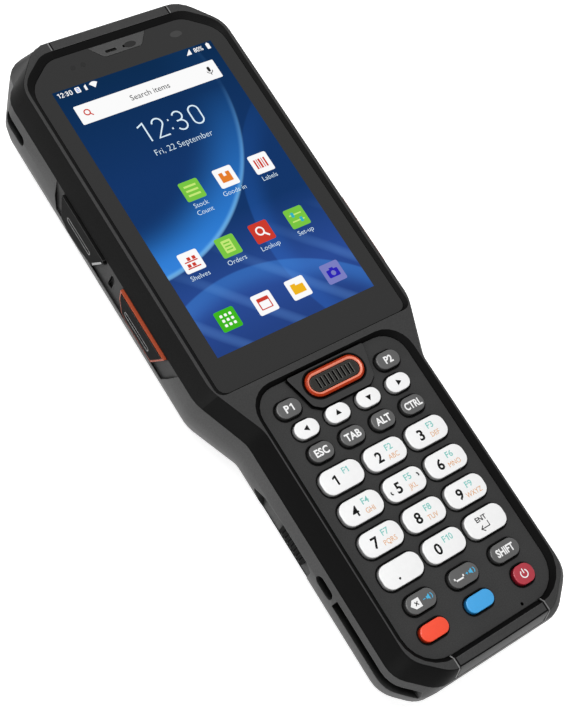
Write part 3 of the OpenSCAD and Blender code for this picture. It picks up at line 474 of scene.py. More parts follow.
def crescent(centre, radius, width, strength):
    """A crescent of light about a point of the display: sharp on its outer edge and fading inwards."""
    middle = (centre[0] * MM, (DISPLAY_Y + centre[1]) * MM, picture_z * MM)
    reach = add(ground, "ShaderNodeVectorMath", {0: spot, 1: middle}, operation="DISTANCE").outputs["Value"]
    inner = add(ground, "ShaderNodeMapRange", {
        "Value": reach, "From Min": (radius - width) * MM, "From Max": radius * MM, "To Max": strength,
    }, interpolation_type="SMOOTHERSTEP")
    outer = add(ground, "ShaderNodeMapRange", {
        "Value": reach, "From Min": radius * MM, "From Max": (radius + 0.5) * MM,
        "To Min": 1.0, "To Max": 0.0,
    })
    ring = add(ground, "ShaderNodeMath", {0: inner.outputs[0], 1: outer.outputs[0]}, operation="MULTIPLY")
    return add(ground, "ShaderNodeMath", {
        0: ring.outputs[0], 1: brightening.outputs[0],
    }, operation="MULTIPLY").outputs[0]


# the arcs brighten down the display
brightening = add(ground, "ShaderNodeMapRange", {
    "Value": axes.outputs["Y"], "From Min": (DISPLAY_Y + 29) * MM, "From Max": (DISPLAY_Y - 14) * MM,
    "To Min": 0.03,
})
shade = light_on(shade, crescent((-30, 33), 51, 18, 0.78), "#2f86ea")
shade = light_on(shade, crescent((-30.3, 32.7), 51.4, 1.6, 0.6), "#7fc4ff")
shade = light_on(shade, crescent((58, -22), 53, 9, 0.22), "#2a6fdc")
shade = light_on(shade, crescent((-8, -74), 50, 8, 0.3), "#3f8cf0")
threads = add(ground, "ShaderNodeTexWave", {
    "Vector": spot, "Scale": 1 / (28 * MM), "Distortion": 0.6,
}, bands_direction="DIAGONAL")
fine = add(ground, "ShaderNodeMapRange", {
    "Value": threads.outputs["Fac"], "From Min": 0.8, "From Max": 1.0, "To Max": 0.16,
})
low_part = add(ground, "ShaderNodeMapRange", {
    "Value": axes.outputs["Y"], "From Min": (DISPLAY_Y - 12) * MM, "From Max": (DISPLAY_Y - 30) * MM,
})
faint = add(ground, "ShaderNodeMath", {0: fine.outputs[0], 1: low_part.outputs[0]}, operation="MULTIPLY")
shade = light_on(shade, faint.outputs[0], "#6fa8ff")
ground_face = add(ground, "ShaderNodeBsdfPrincipled", {
    "Base Color": linear("#040404"), "Roughness": 0.13, "Specular IOR Level": 0.01,
    "Emission Color": shade, "Emission Strength": GLOW,
})
add(ground, "ShaderNodeOutputMaterial", {"Surface": ground_face.outputs[0]})


def rectangle(width, height, at=(0, 0), corner=0.0, steps=4):
    """Points of a rectangle with rounded corners, anticlockwise, in millimetres."""
    corners = ((1, 1), (-1, 1), (-1, -1), (1, -1))
    if not corner:
        return [(at[0] + i * width / 2, at[1] + j * height / 2) for i, j in corners]
    points = []
    for quarter, (i, j) in enumerate(corners):
        for step in range(steps + 1):
            turn = math.radians(90 * (quarter + step / steps))
            points.append((
                at[0] + i * (width / 2 - corner) + corner * math.cos(turn),
                at[1] + j * (height / 2 - corner) + corner * math.sin(turn),
            ))
    return points


backdrop = bmesh.new()
prism(backdrop, rectangle(DISPLAY_W, DISPLAY_H, (0, DISPLAY_Y)), glass_top - FILM, picture_z)
piece("display_ground", backdrop, [ground], "root")

# a capital's share of the font's size
CAP_SHARE = 0.682


def lettering(form, words, cap, at, level, slot=0, weight=0.0, narrow=1.0, thick=FILM):
    """Words as closed solids, added to a bmesh. cap is the height of a capital in millimetres, and weight
    what the strokes gain on each side."""
    curve = bpy.data.curves.new("lettering", "FONT")
    curve.body, curve.align_x = words, "CENTER"
    curve.size = cap * MM / CAP_SHARE
    curve.offset = weight * MM
    curve.extrude = thick * MM / 2
    curve.resolution_u = 3
    text = bpy.data.objects.new("lettering", curve)
    bpy.context.scene.collection.objects.link(text)
    bpy.context.view_layer.update()
    mesh = bpy.data.meshes.new_from_object(text)
    shift = Matrix.Translation((at[0] * MM, (at[1] - cap / 2) * MM, level * MM))
    mesh.transform(shift @ Matrix.Diagonal((narrow, 1, 1, 1)))
    first = len(form.faces)
    form.from_mesh(mesh)
    form.faces.ensure_lookup_table()
    for face in form.faces[first:]:
        face.material_index = slot
    bpy.data.objects.remove(text)
    bpy.data.curves.remove(curve)
    bpy.data.meshes.remove(mesh)


INKS = {
    "white": "#ffffff", "dark": "#2c2c2c", "red": "#cf3b2c", "green": "#7ac943", "lime": "#c8ec7a",
    "orange": "#e8802a", "teal": "#35b3c4", "leaf": "#3fb81e", "violet": "#7d80c4", "indigo": "#2c22b8",
    "amber": "#f2b820", "blue": "#2f6fd8", "pale": "#e0f4ff",
}
ink_names = list(INKS)
inks = [lit("display_" + name, colour) for name, colour in INKS.items()]
screen = bmesh.new()


def draw(outline, ink, layer=0):
    """One flat shape of the picture. Each layer lies a film's thickness above the last."""
    low = picture_z + layer * FILM
    moved = [(x, y + DISPLAY_Y) for x, y in outline]
    prism(screen, moved, low - FILM / 2, low + FILM, ink_names.index(ink))


def write(words, cap, at, ink, layer=0, **more):
    """Words of the picture, in a layer like the shapes'."""
    level = picture_z + layer * FILM + FILM / 2
    lettering(screen, words, cap, (at[0], at[1] + DISPLAY_Y), level, ink_names.index(ink), **more)


def bend(radius, centre, start, stop, steps=12):
    """Points of an arc from one angle to another, in degrees."""
    turns = [math.radians(start + (stop - start) * i / steps) for i in range(steps + 1)]
    return [(centre[0] + radius * math.cos(t), centre[1] + radius * math.sin(t)) for t in turns]


# thin numerals, as lines on a cell of height 1, with the step to the next cell
oval = bend(0.25, (0.29, 0.73), 0, 180) + bend(0.25, (0.29, 0.27), 180, 360)
NUMERALS = {
    "1": (0.72, [[(0.02, 0.84), (0.34, 0.97), (0.34, 0.0)]]),
    "2": (0.8, [bend(0.25, (0.28, 0.73), 170, -36) + [(0.03, 0.025), (0.58, 0.025)]]),
    "3": (0.86, [
        bend(0.235, (0.28, 0.745), 155, -90) + [(0.14, 0.51)],
        [(0.14, 0.51)] + bend(0.25, (0.28, 0.26), 90, -155),
    ]),
    "0": (0.86, [oval + oval[:1]]),
    ":": (0.26, [[(0.03, 0.2), (0.03, 0.28)], [(0.03, 0.66), (0.03, 0.74)]]),
}


def numerals(text, height, weight, at, ink="white"):
    """A row of thin numerals whose lower left corner is given."""
    x = at[0]
    for sign in text:
        step, lines = NUMERALS[sign]
        for line in lines:
            draw(stroke([(x + height * a, at[1] + height * b) for a, b in line], weight), ink)
        x += step * height


# status line
numerals("12:30", 1.35, 0.24, (-24.9, 41.05))
draw(rectangle(1.5, 1.8, (-18.7, 41.75), 0.3), "white")
for step in (-0.45, 0, 0.45):
    draw(rectangle(0.8, 0.2, (-18.7, 41.75 + step)), "blue", 1)
draw([(-16.6, 40.9), (-15.9, 40.9), (-15.9, 42.7), (-16.6, 42.2)], "white")
draw([(-13.6, 40.8), (-12.3, 42.3), (-12.9, 42.7), (-13.6, 42.85), (-14.3, 42.7), (-14.9, 42.3)], "white")
draw([(18.2, 40.9), (18.2, 42.7), (16.4, 40.9)], "white")
write("80%", 1.4, (20.8, 41.75), "white", weight=0.02, narrow=0.9)
draw(rectangle(1.1, 1.8, (24.2, 41.7), 0.15), "white")
draw(rectangle(0.5, 0.35, (24.2, 42.7)), "white")
# search field
draw(rectangle(45.6, 6.1, (0, 34.25), 0.3), "white")
draw(stroke(bend(0.85, (-19.9, 34.55), 0, 360, 24), 0.36), "red", 1)
draw([(-19.4, 33.85), (-19.15, 34.1), (-18.4, 33.3), (-18.65, 33.05)], "red", 1)
write("Search items", 1.7, (0, 34.2), "dark", 1)
draw(rectangle(0.9, 1.7, (20.0, 34.75), 0.44), "dark", 1)
draw(stroke(bend(0.95, (20.0, 34.35), 190, 350), 0.22), "dark", 1)
draw(rectangle(0.22, 0.7, (20.0, 33.1)), "dark", 1)
# clock and date
numerals("12:30", 6.2, 0.44, (-9.8, 19.9), "pale")
write("Fri, 22 September", 1.85, (0.2, 16.3), "pale", weight=-0.035, narrow=0.96)


# app tiles: each is a plain sign on a square
TILE, TILE_CORNER = 6.1, 0.55


def tile(at, ink, marks):
    """A square with plain marks on it. Each mark is an outline from the middle, an ink and a layer."""
    draw(rectangle(TILE, TILE, at, TILE_CORNER), ink)
    for outline, mark_ink, layer in marks:
        draw([(at[0] + x, at[1] + y) for x, y in outline], mark_ink, layer)


COLUMNS = (-17.4, -5.6, 5.5, 17.4)
ROWS = (2.4, -16.3, -34.9)
x0, x1, x2, x3 = COLUMNS
top, middle, dock = ROWS
# a list, a parcel and a bar code
tile((x1, top), "green", [(rectangle(3.8, 0.6, (0, y)), "lime", 1) for y in (-1.4, 0, 1.4)])
tile((x2, top), "white", [
    (rectangle(3.5, 3.1, (0, 0), 0.2), "orange", 1), (rectangle(0.9, 1.2, (0, 0.95)), "white", 2),
])
BARS = ((-1.65, 0.5), (-0.9, 0.25), (-0.15, 0.6), (0.7, 0.25), (1.5, 0.5))
tile((x3, top), "white", [(rectangle(width, 3.0, (x, 0)), "red", 1) for x, width in BARS])
# a shelf, a sheet, a lens and two sliders
BOXES = ((-1.2, -1.0), (0.3, -1.0), (-0.4, 0.9), (1.2, 0.9))
shelf = [(rectangle(4.0, 0.35, (0, y)), "red", 1) for y in (-1.8, 0.1)]
shelf += [(rectangle(1.0, 1.0, box), "red", 1) for box in BOXES]
tile((x0, middle), "white", shelf)
sheet = [(rectangle(3.0, 3.8, (0, 0), 0.2), "lime", 1)]
sheet += [(rectangle(2.0, 0.4, (0, y)), "green", 2) for y in (-1.0, 0, 1.0)]
tile((x1, middle), "green", sheet)
tile((x2, middle), "red", [
    (stroke(bend(1.15, (-0.35, 0.4), 0, 360, 24), 0.45), "white", 1),
    (stroke([(0.55, -0.5), (1.7, -1.65)], 0.55), "white", 2),
])
tile((x3, middle), "green", [
    (rectangle(4.0, 0.4, (0, 1.0)), "lime", 1), (rectangle(0.9, 1.5, (-0.9, 1.0), 0.2), "teal", 2),
    (rectangle(4.0, 0.4, (0, -1.0)), "lime", 1), (rectangle(0.9, 1.5, (1.0, -1.0), 0.2), "teal", 2),
])
# a keypad, a calendar, a folder and a camera
STEPS = (-1.4, 0, 1.4)
tile((x0, dock), "leaf", [(rectangle(0.8, 0.8, (x, y), 0.2), "white", 1) for x in STEPS for y in STEPS])
tile((x1, dock), "white", [
    (rectangle(3.7, 3.5, (0, 0), 0.2), "red", 1), (rectangle(3.0, 2.1, (0, -0.4)), "white", 2),
])
tile((x2, dock), "white", [
    (rectangle(3.9, 2.5, (0, -0.3), 0.2), "amber", 1), (rectangle(1.6, 0.6, (-1.1, 1.25)), "amber", 1),
])
tile((x3, dock), "violet", [
    (rectangle(3.7, 2.4, (0, -0.2), 0.3), "indigo", 1), (rectangle(1.3, 0.5, (0, 1.25)), "indigo", 1),
    (ring_of(0.75, (0, -0.2), 16), "violet", 2),
])
LABEL_CAP, FIRST_LINE, NEXT_LINE = 1.4, 4.6, 6.9
for words, x, row, drop in (
    ("Stock", x1, top, FIRST_LINE), ("Count", x1, top, NEXT_LINE), ("Goods in", x2, top, FIRST_LINE),
    ("Labels", x3, top, FIRST_LINE), ("Shelves", x0, middle, FIRST_LINE), ("Orders", x1, middle, FIRST_LINE),
    ("Lookup", x2, middle, FIRST_LINE), ("Set-up", x3, middle, FIRST_LINE),
):
    write(words, LABEL_CAP, (x, row - drop), "pale", weight=-0.02)
piece("display_picture", screen, inks, "root")


# ---- Keys ----
# Each key is a hard cap on a silicone mat: a near-flat face, a rolled edge, a skirt painted darker as shade,
# and a flange under the panel painted black as shade. White and grey caps carry a printed legend; the others
# are plain but for the red one. A painted shadow rings each key on the panel, and the scan key on the bezel.
def key_plastic(name, colour):
    """ABS, moulded and lacquered: an even satin colour with a soft shine. The faint mottle is the
    lacquer's, about 1 mm across."""
    material = blank_material(name)
    place = add(material, "ShaderNodeTexCoord").outputs["Object"]
    mottle = add(material, "ShaderNodeTexNoise", {"Vector": place, "Scale": 1 / (1.1 * MM), "Detail": 3})
    tone = add(material, "ShaderNodeMapRange", {
        "Value": mottle.outputs[0], "From Min": 0.3, "From Max": 0.7, "To Min": 0.97, "To Max": 1.0,
    })
    base = add(material, "ShaderNodeMix", {
        "Factor": 1.0, 6: linear(colour), 7: tone.outputs[0],
    }, data_type="RGBA", blend_type="MULTIPLY")
    bump = add(material, "ShaderNodeBump", {"Height": mottle.outputs[0], "Distance": 0.008 * MM})
    finish = add(material, "ShaderNodeBsdfPrincipled", {
        "Base Color": base.outputs[2], "Roughness": 0.35, "Coat Weight": 0.25, "Coat Roughness": 0.2,
        "Normal": bump.outputs[0],
    })
    add(material, "ShaderNodeOutputMaterial", {"Surface": finish.outputs[0]})
    return material


# each key's face colour, a darker copy of it as painted shade for the skirt, and black as painted shade for
# the flange
key_paints = {
    name: [key_plastic(name + "_face", face), key_plastic(name + "_skirt", skirt_shade), black_shade_and_gaps]
    for name, face, skirt_shade in (
        ("white_key", "#f4f4f4", "#9c9c9c"), ("grey_key", "#4c4c4c", "#333333"),
        ("orange_key", "#f4451f", "#a52c12"), ("blue_key", "#35a0e0", "#1c6ba0"),
        ("red_key", "#a81c30", "#6c0f1c"),
    )
}
FACE, SKIRT, SHADE = range(3)
FLANGE, FLANGE_TOP, FLANGE_T = 0.6, 26.4, 0.8
ROUND_STEPS = 8
# the skirt's corner radius for each width of key, and the rolled edge as insets and drops
SKIRT_CORNER = {12.6: 2.75, 9.0: 2.4, 8.4: 2.15, 7.2: 2.35, 6.2: 2.4}
EDGE_ROLL = [(0.0, 0.3), (0.03, 0.16), (0.09, 0.06), (0.17, 0.015), (0.27, 0.0)]


def ring_solid(form, rings):
    """A closed solid through outlines of equal count, each with its level in millimetres."""
    loops = [[form.verts.new((x * MM, y * MM, z * MM)) for x, y in outline] for outline, z in rings]
    count = len(loops[0])
    form.faces.new(loops[0][::-1])
    form.faces.new(loops[-1])
    for low, high in zip(loops, loops[1:]):
        for i in range(count):
            form.faces.new((low[i], low[(i + 1) % count], high[(i + 1) % count], high[i]))


def hoop(form, width, height, centre, corner, profile, bands=None):
    """A closed ring about a rounded rectangle: each point of its section is an inset and a level. bands
    gives the material slot of the band from each point to the next."""
    loops = []
    for inset, level in profile:
        outline = rectangle(width - 2 * inset, height - 2 * inset, centre, corner - inset, ROUND_STEPS)
        loops.append([form.verts.new((x * MM, y * MM, level * MM)) for x, y in outline])
    count = len(loops[0])
    for low, high, slot in zip(loops, loops[1:] + loops[:1], bands or [0] * len(loops)):
        for i in range(count):
            face = form.faces.new((low[i], low[(i + 1) % count], high[(i + 1) % count], high[i]))
            face.material_index = slot


SHADOW_IN, SHADOW_OUT = 0.25, 0.62
shadow_lines = bmesh.new()


def lip(width, height, centre, corner, level):
    """A painted shadow round the opening that a key comes through, at the level of the face round it."""
    hoop(shadow_lines, width, height, centre, corner, [
        (-SHADOW_OUT, level - SKIN), (-SHADOW_OUT, level + SKIN),
        (-SHADOW_IN, level + SKIN), (-SHADOW_IN, level - SKIN),
    ])


panel_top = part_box("keypad_panel")[1].z / MM
slots = {entry["node"]: entry["material_slot"] for entry in frame["record"]["subparts"]}
caps = {}
for name in sorted(n for n in cad if n.startswith("key_")):
    low, high = (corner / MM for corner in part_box(name))
    centre = ((low.x + high.x) / 2, (low.y + high.y) / 2)
    width, height = high.x - low.x - 2 * FLANGE, high.y - low.y - 2 * FLANGE
    corner = SKIRT_CORNER[round(width, 1)]
    cap = bmesh.new()
    flange = rectangle(width + 2 * FLANGE, height + 2 * FLANGE, centre, corner + FLANGE, ROUND_STEPS)
    rings = [(flange, FLANGE_TOP - FLANGE_T), (flange, FLANGE_TOP)]
    rings += [(rectangle(width, height, centre, corner, ROUND_STEPS), FLANGE_TOP)]
    for inset, drop in EDGE_ROLL:
        outline = rectangle(width - 2 * inset, height - 2 * inset, centre, corner - inset, ROUND_STEPS)
        rings.append((outline, high.z - drop))
    ring_solid(cap, rings)
    # faces by level: the flange and the skirt take the painted shade, the top the face's colour
    for face in cap.faces:
        level = face.calc_center_median().z / MM
        if level < FLANGE_TOP + 0.01:
            face.material_index = SHADE
        elif level < high.z - EDGE_ROLL[0][1]:
            face.material_index = SKIRT
        else:
            face.material_index = FACE
    lip(width, height, centre, corner, panel_top)
    made = piece(name + "_cap", cap, key_paints[slots[name]], name, smooth=True)
    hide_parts(name)
    caps[name] = (centre, high.z)
ring_low, ring_high = (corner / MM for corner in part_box("scan_key_ring"))
scan_w, scan_h = ring_high.x - ring_low.x, ring_high.y - ring_low.y
scan_at = ((ring_low.x + ring_high.x) / 2, (ring_low.y + ring_high.y) / 2)
lip(scan_w, scan_h, scan_at, scan_h / 2 - SKIN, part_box("scan_key_bezel")[1].z / MM)

# A painted shadow runs round the bezel's foot too, along its outline from the scan key's middle.
FOOT_T = 0.8
left_foot = [(-12.6, 4.7), (-11.2, -0.4), (-10.2, -4.6), (-8.0, -6.2)]
foot = left_foot + [(-x, y) for x, y in left_foot[::-1]]
foot_shadow = stroke([(x, scan_at[1] + y) for x, y in foot], FOOT_T)
prism(shadow_lines, foot_shadow, panel_top - SKIN, panel_top + SKIN)
piece("key_lips", shadow_lines, [black_shade_and_gaps], "root")


# ---- Printed legends ----
# Ink laid on the caps by pad printing: black on white, white on grey and red, with the second functions
# in pale teal and pale orange at the right of the number keys, and in blue on two grey keys.
def ink(name, colour):
    """Pad-printing ink: an even, nearly matt colour. The speckle in its gloss is about 0.25 mm across."""
    material = blank_material(name)
    place = add(material, "ShaderNodeTexCoord").outputs["Object"]
    speckle = add(material, "ShaderNodeTexNoise", {"Vector": place, "Scale": 1 / (0.25 * MM)})
    gloss = add(material, "ShaderNodeMapRange", {
        "Value": speckle.outputs[0], "To Min": 0.35, "To Max": 0.55,
    })
    finish = add(material, "ShaderNodeBsdfPrincipled", {
        "Base Color": linear(colour), "Roughness": gloss.outputs[0], "Specular IOR Level": 0.1,
    })
    add(material, "ShaderNodeOutputMaterial", {"Surface": finish.outputs[0]})
    return material


BLACK, WHITE, TEAL, ORANGE, BLUE = range(5)
print_inks = [
    ink("black_ink", "#080808"), ink("white_ink", "#f4f4f4"), ink("teal_ink", "#86cbc4"),
    ink("orange_ink", "#dfa878"), ink("blue_ink", "#4fb2dc"),
]
INK_T = 0.03


class Legend:
    """The ink on one cap: words and shapes placed from the cap's centre, in millimetres."""

    def __init__(self, key):
        self.key = key
        self.centre, self.level = caps[key]
        self.form = bmesh.new()

    def words(self, text, cap, at=(0, 0), slot=WHITE, weight=0.0, narrow=1.0):
        spot = (self.centre[0] + at[0], self.centre[1] + at[1])
        level = self.level + INK_T / 4
        lettering(self.form, text, cap, spot, level, slot, weight, narrow, INK_T)
        return self

    def shape(self, outline, slot=WHITE, lift=0.0):
        moved = [(self.centre[0] + x, self.centre[1] + y) for x, y in outline]
        prism(self.form, moved, self.level - INK_T / 4, self.level + (0.75 + lift) * INK_T, slot)
        return self

    def lay(self):
        piece(self.key + "_legend", self.form, print_inks, self.key)


def flagged_one(at, scale=1.0):
    """The outline of a 1 with a flag, 2.75 mm high at scale 1."""
    stem = ((0.2, -1.45), (0.75, -1.45), (0.75, 1.3), (0.35, 1.3))
    flag = ((-0.5, 0.85), (-0.5, 0.35), (0.2, 0.65))
    return [(at[0] + scale * x, at[1] + scale * y) for x, y in stem + flag]


NUMBER_CAP, F_CAP, LETTER_CAP, WORD_CAP = 2.8, 1.65, 1.35, 1.95
F_Y = 1.3
LETTERS = ("", "ABC", "DEF", "GHI", "JKL", "MNO", "PQRS", "TUV", "WXYZ")
for number in range(10):
    legend = Legend("key_%d" % number)
    if number == 1:
        legend.shape(flagged_one((-2.3, 0)), BLACK)
    else:
        legend.words(str(number), NUMBER_CAP, (-2.15, -0.1), BLACK, 0.05 if number == 4 else 0.1)
    if number > 1:
        legend.words("F%d" % number, F_CAP, (1.75, F_Y), TEAL, 0.03)
    elif number == 1:
        legend.words("F", F_CAP, (1.25, F_Y), TEAL, 0.02)
        legend.shape(flagged_one((2.2, F_Y), 0.58), TEAL)
    else:
        legend.words("F", F_CAP, (0.75, F_Y), TEAL, 0.02)
        legend.shape(flagged_one((1.75, F_Y), 0.58), TEAL)
        legend.words("0", F_CAP, (2.95, F_Y), TEAL, 0.02, narrow=0.9)
    if number and LETTERS[number - 1]:
        legend.words(LETTERS[number - 1], LETTER_CAP, (1.9, -F_Y), ORANGE, narrow=0.88)
    if number == 5:
        # two raised marks, for the finger to find the middle key, drawn black as their painted shade
        for side, start in ((-1, 150), (1, -30)):
            mark = bend(0.62, (4.3 * side, 0.5 * side), start, start + 100, 8)
            legend.shape(stroke(mark, 0.3), BLACK, lift=4)
    legend.lay()
first = Legend("key_p1").words("P", WORD_CAP, (-0.75, 0), weight=0.09)
first.shape(flagged_one((0.75, 0.05), 0.72)).lay()
for words in ("P2", "ESC", "TAB", "ALT", "CTRL", "SHIFT"):
    narrow = 0.8 if len(words) > 3 else 0.92
    Legend("key_" + words.lower()).words(words, WORD_CAP, weight=0.09, narrow=narrow).lay()
for key, turn in (("key_right", 0), ("key_up", 90), ("key_left", 180), ("key_down", 270)):
    Legend(key).shape(ring_of(1.0, (0, 0), 3, math.radians(turn)), BLACK).lay()
Legend("key_dot").shape(ring_of(0.32, (-1.6, -1.5), 16), BLACK).lay()
LINE = 0.24
enter = Legend("key_enter").words("ENT", 1.3, (-0.95, 1.2), BLACK, 0.04)
enter.shape(stroke([(-2.4, -1.4), (0.4, -1.4), (0.4, 0)], LINE), BLACK)
enter.shape(stroke([(-1.5, -2.2), (-2.4, -1.4), (-1.5, -0.6)], LINE), BLACK, lift=0.3).lay()
space = Legend("key_space").shape(rectangle(3.2, 0.42, (-1.6, -0.45)))
for x in (-3.0, -0.2):
    space.shape(rectangle(0.42, 1.0, (x, -0.15)))
rub_out = Legend("key_backspace")
rub_out.shape([(-3.4, 0), (-2.3, -1.25), (-0.3, -1.25), (-0.3, 1.25), (-2.3, 1.25)])
for lean in (-45, 45):
    dx, dy = 0.7 * math.cos(math.radians(lean)), 0.7 * math.sin(math.radians(lean))
    rub_out.shape(stroke([(-1.5 - dx, -dy), (-1.5 + dx, dy)], 0.26), BLACK, lift=0.5)
for legend, louder in ((space, True), (rub_out, False)):
    legend.shape([(1.7, -0.35), (2.1, -0.35), (2.7, -0.8), (2.7, 0.8), (2.1, 0.35), (1.7, 0.35)], BLUE)
    legend.shape(stroke(bend(0.9, (2.6, 0), -50, 50, 8), 0.22), BLUE)
    legend.shape(rectangle(0.7, 0.2, (1.0, 0)), BLUE)
    if louder:
        legend.shape(rectangle(0.2, 0.7, (1.0, 0)), BLUE, lift=0.3)
    legend.lay()
power = Legend("key_power").shape(stroke(bend(1.05, (0, 0), 125, 415, 24), 0.3))
power.shape(rectangle(0.3, 1.3, (0, 0.75)), lift=0.3).lay()


# ---- Scan key ----
# An orange ring, moulded in glossy ABS with a rounded top, holds a dark rubber pad with nine slots.
# A painted highlight lies on the ring's inner edge and a side of each slot, and painted shade on the ring's
# outside; the slots themselves are painted black as shade.
SLIGHT = 0.002
glossy_orange = moulded_plastic(
    "glossy_orange_abs", "#a63008", 0.25, 0.12, depth=SLIGHT, edge_wear_and_highlight=0.0, crevice_shade=0.08,
)
orange_shade = moulded_plastic("orange_abs_painted_shade", "#5e1304", 0.3, 0.08, depth=SLIGHT, edge_wear_and_highlight=0.0, crevice_shade=0.08)
orange_highlight = moulded_plastic("orange_abs_painted_highlight", "#ec8468", 0.2, 0.5, depth=SLIGHT, edge_wear_and_highlight=0.0, crevice_shade=0.4)
pad_rubber = moulded_plastic("pad_rubber", "#2a2926", 0.5, 0.15, depth=0.015, edge_wear_and_highlight=0.15, crevice_shade=0.02)
slot_highlight_rubber = moulded_plastic("pad_painted_highlight", "#6c6c68", 0.5, 0.1, depth=0.015, edge_wear_and_highlight=0.0, crevice_shade=0.6)
PLAIN, IN_SHADE, HIGHLIT = range(3)
RING_R, RING_STEPS = 0.75, 10
round_from = ring_high.z - RING_R
profile = [(0.0, ring_low.z), (0.0, round_from)]
for step in range(1, RING_STEPS):
    turn = math.radians(180 * step / RING_STEPS)
    profile.append((RING_R * (1 - math.cos(turn)), round_from + RING_R * math.sin(turn)))
profile += [(2 * RING_R, round_from), (2 * RING_R, ring_low.z)]
# bands from the outside in: painted shade, the plain orange, a painted highlight, the plain orange
bands = [IN_SHADE] * 3 + [PLAIN] * 3 + [HIGHLIT] * 3 + [PLAIN] * 4
scan_ring = bmesh.new()
hoop(scan_ring, scan_w, scan_h, scan_at, scan_h / 2 - 0.001, profile, bands)
ring_finishes = [glossy_orange, orange_shade, orange_highlight]
ring_piece = piece("scan_key_rim", scan_ring, ring_finishes, "scan_key", smooth=True)
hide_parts("scan_key_ring")
finish_nodes(pad_rubber, "scan_key_pad")
SLOT_DEPTH, SLOT_HALF, SLOT_STEP = 0.6, 1.6, 1.35
GLINT_W, GLINT_L, GLINT_OFF = 0.18, 3.0, 0.4
pad_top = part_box("scan_key_pad")[1].z / MM
pad_mesh = cad["scan_key_pad"].data
pad_mesh.materials.append(black_shade_and_gaps)
# the slots' floors and walls take the black of painted shade
for face in pad_mesh.polygons:
    at = face.center / MM
    in_slot = SAME_PLANE < pad_top - at.z < SLOT_DEPTH and abs(at.y - scan_at[1]) < SLOT_HALF
    face.material_index = int(in_slot)
# a painted highlight along one side of each slot
slot_highlights = bmesh.new()
for i in range(-4, 5):
    glint_strip = rectangle(GLINT_W, GLINT_L, (i * SLOT_STEP + GLINT_OFF, scan_at[1]))
    prism(slot_highlights, glint_strip, pad_top - 0.1, pad_top + 0.01)
piece("pad_slot_highlights", slot_highlights, [slot_highlight_rubber], "scan_key")


# ---- Side keys and port flap ----
# The volume key and the grips of the two side scan buttons are soft dark rubber, each with a long finger
# groove whose rim carries a painted highlight; the buttons' frames are the scan key's orange ABS, with a
# satin skin.
# The flap over the charging port is the same rubber as the grips.
satin_orange = moulded_plastic("satin_orange_abs", "#a8431f", 0.35, 0.2, depth=0.004, edge_wear_and_highlight=0.03, crevice_shade=0.3)
side_rubber = moulded_plastic("side_rubber", "#161616", 0.5, 0.015, depth=0.015, edge_wear_and_highlight=0.12)
finish_nodes(satin_orange, "left_scan_frame", "right_scan_frame")
finish_nodes(side_rubber, "left_scan_insert", "right_scan_insert", "volume_key", "port_flap")
side_rubber_highlight = moulded_plastic(
    "side_rubber_highlight", "#8f8f8f", 0.25, 0.5, depth=SLIGHT, edge_wear_and_highlight=0.0, crevice_shade=1.0,
)
PROUD, SUNK = 0.01, 0.15
FINGER_Z, FINGER_R, FINGER_T = 19.05, 0.62, 0.2
END_GLINT_T = 0.6
for name, body, middle_y, half, side in (
    ("volume_key", "volume_rocker", 46.3, 5.3, -1),
    ("left_scan_insert", "left_scan_button", 15.5, 5.4, -1),
    ("right_scan_insert", "right_scan_button", 15.5, 5.4, 1),
):
    face_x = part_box(name)[side > 0].x / MM
    across_face = sorted((face_x + side * PROUD, face_x - side * SUNK))
    # a painted highlight round the finger groove's rim
    round_line = bend(FINGER_R, (middle_y + half, FINGER_Z), -90, 90)
    round_line += bend(FINGER_R, (middle_y - half, FINGER_Z), 90, 270)
    highlight_strips = bmesh.new()
    prism(highlight_strips, stroke(round_line + round_line[:1], FINGER_T), *across_face, across=True)
    if name == "volume_key":
        # a painted glint on the slanted end, where it would catch the light
        end_glint = [(38.3, 17.2), (35.5, 22.4)]
        prism(highlight_strips, stroke(end_glint, END_GLINT_T), *across_face, across=True)
    piece(name + "_painted_highlight", highlight_strips, [side_rubber_highlight], body)


# ---- Studio ----
# A pale floor under the terminal, an even white surround, and broad soft lamps above and to the left.
def lamp(name, energy, size, at):
    """A round soft lamp that shines on the terminal's middle."""
    light = bpy.data.lights.new(name, "AREA")
    light.energy, light.size, light.shape = energy, size, "DISK"
    fitting = bpy.data.objects.new(name, light)
    fitting.location = at
    fitting.rotation_euler = (Vector((0, 0, 0.01)) - Vector(at)).to_track_quat("-Z", "Y").to_euler()
    bpy.context.scene.collection.objects.link(fitting)


def shown(owner):
    """1 where a ray shows the surround itself, straight, in gloss or through glass; 0 where it lights."""
    path = add(owner, "ShaderNodeLightPath").outputs
    rays = add(owner, "ShaderNodeMath", {
        0: path["Is Camera Ray"], 1: path["Is Glossy Ray"],
    }, operation="MAXIMUM")
    return add(owner, "ShaderNodeMath", {
        0: rays.outputs[0], 1: path["Is Transmission Ray"],
    }, operation="MAXIMUM").outputs[0]


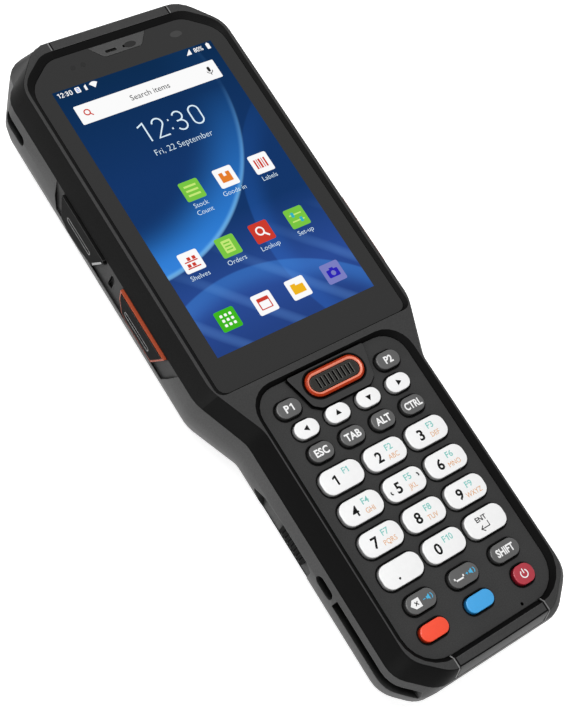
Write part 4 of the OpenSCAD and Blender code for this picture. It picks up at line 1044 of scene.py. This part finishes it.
lamp("overhead", 9.0, 0.8, (-0.2, 0.3, 1.05))
lamp("left_fill", 3.0, 0.5, (-0.8, -0.45, 0.25))
world = bpy.data.worlds.new("surround")
world.use_nodes = True
bpy.context.scene.world = world
world.node_tree.nodes.clear()
AIR_LIGHT, AIR_SHOWN = 0.3, 1.0
strength = add(world, "ShaderNodeMapRange", {
    "Value": shown(world), "To Min": AIR_LIGHT, "To Max": AIR_SHOWN,
})
air = add(world, "ShaderNodeBackground", {"Color": linear("#ffffff"), "Strength": strength.outputs[0]})
add(world, "ShaderNodeOutputWorld", {"Surface": air.outputs[0]})

floor_paint = blank_material("pale_floor")
# The floor glows where it is seen, so that it meets the surround without a line.
FLOOR_GLOW = 0.76
matt = add(floor_paint, "ShaderNodeBsdfDiffuse", {"Color": (0.8, 0.8, 0.8, 1)})
lift = add(floor_paint, "ShaderNodeMath", {0: shown(floor_paint), 1: FLOOR_GLOW}, operation="MULTIPLY")
glow = add(floor_paint, "ShaderNodeEmission", {"Color": linear("#ffffff"), "Strength": lift.outputs[0]})
both = add(floor_paint, "ShaderNodeAddShader", {0: matt.outputs[0], 1: glow.outputs[0]})
# From below, the floor is clear to the camera, so that the back and the battery pack can be seen.
viewer = add(floor_paint, "ShaderNodeNewGeometry").outputs["Incoming"]
height = add(floor_paint, "ShaderNodeSeparateXYZ", {"Vector": viewer}).outputs["Z"]
below = add(floor_paint, "ShaderNodeMath", {0: height, 1: 0.0}, operation="LESS_THAN")
straight = add(floor_paint, "ShaderNodeLightPath").outputs["Is Camera Ray"]
clear = add(floor_paint, "ShaderNodeMath", {0: below.outputs[0], 1: straight}, operation="MULTIPLY")
gone = add(floor_paint, "ShaderNodeBsdfTransparent")
pane = add(floor_paint, "ShaderNodeMixShader", {
    0: clear.outputs[0], 1: both.outputs[0], 2: gone.outputs[0],
})
add(floor_paint, "ShaderNodeOutputMaterial", {"Surface": pane.outputs[0]})
FLOOR, FLOOR_LOW, FLOOR_TOP = 20000, -2, -0.05
slab = bmesh.new()
prism(slab, rectangle(FLOOR, FLOOR), FLOOR_LOW, FLOOR_TOP)
floor_mesh = bpy.data.meshes.new("floor")
slab.to_mesh(floor_mesh)
slab.free()
floor_mesh.materials.append(floor_paint)
floor = bpy.data.objects.new("floor", floor_mesh)
bpy.context.scene.collection.objects.link(floor)
bpy.context.scene.view_settings.view_transform = "Standard"
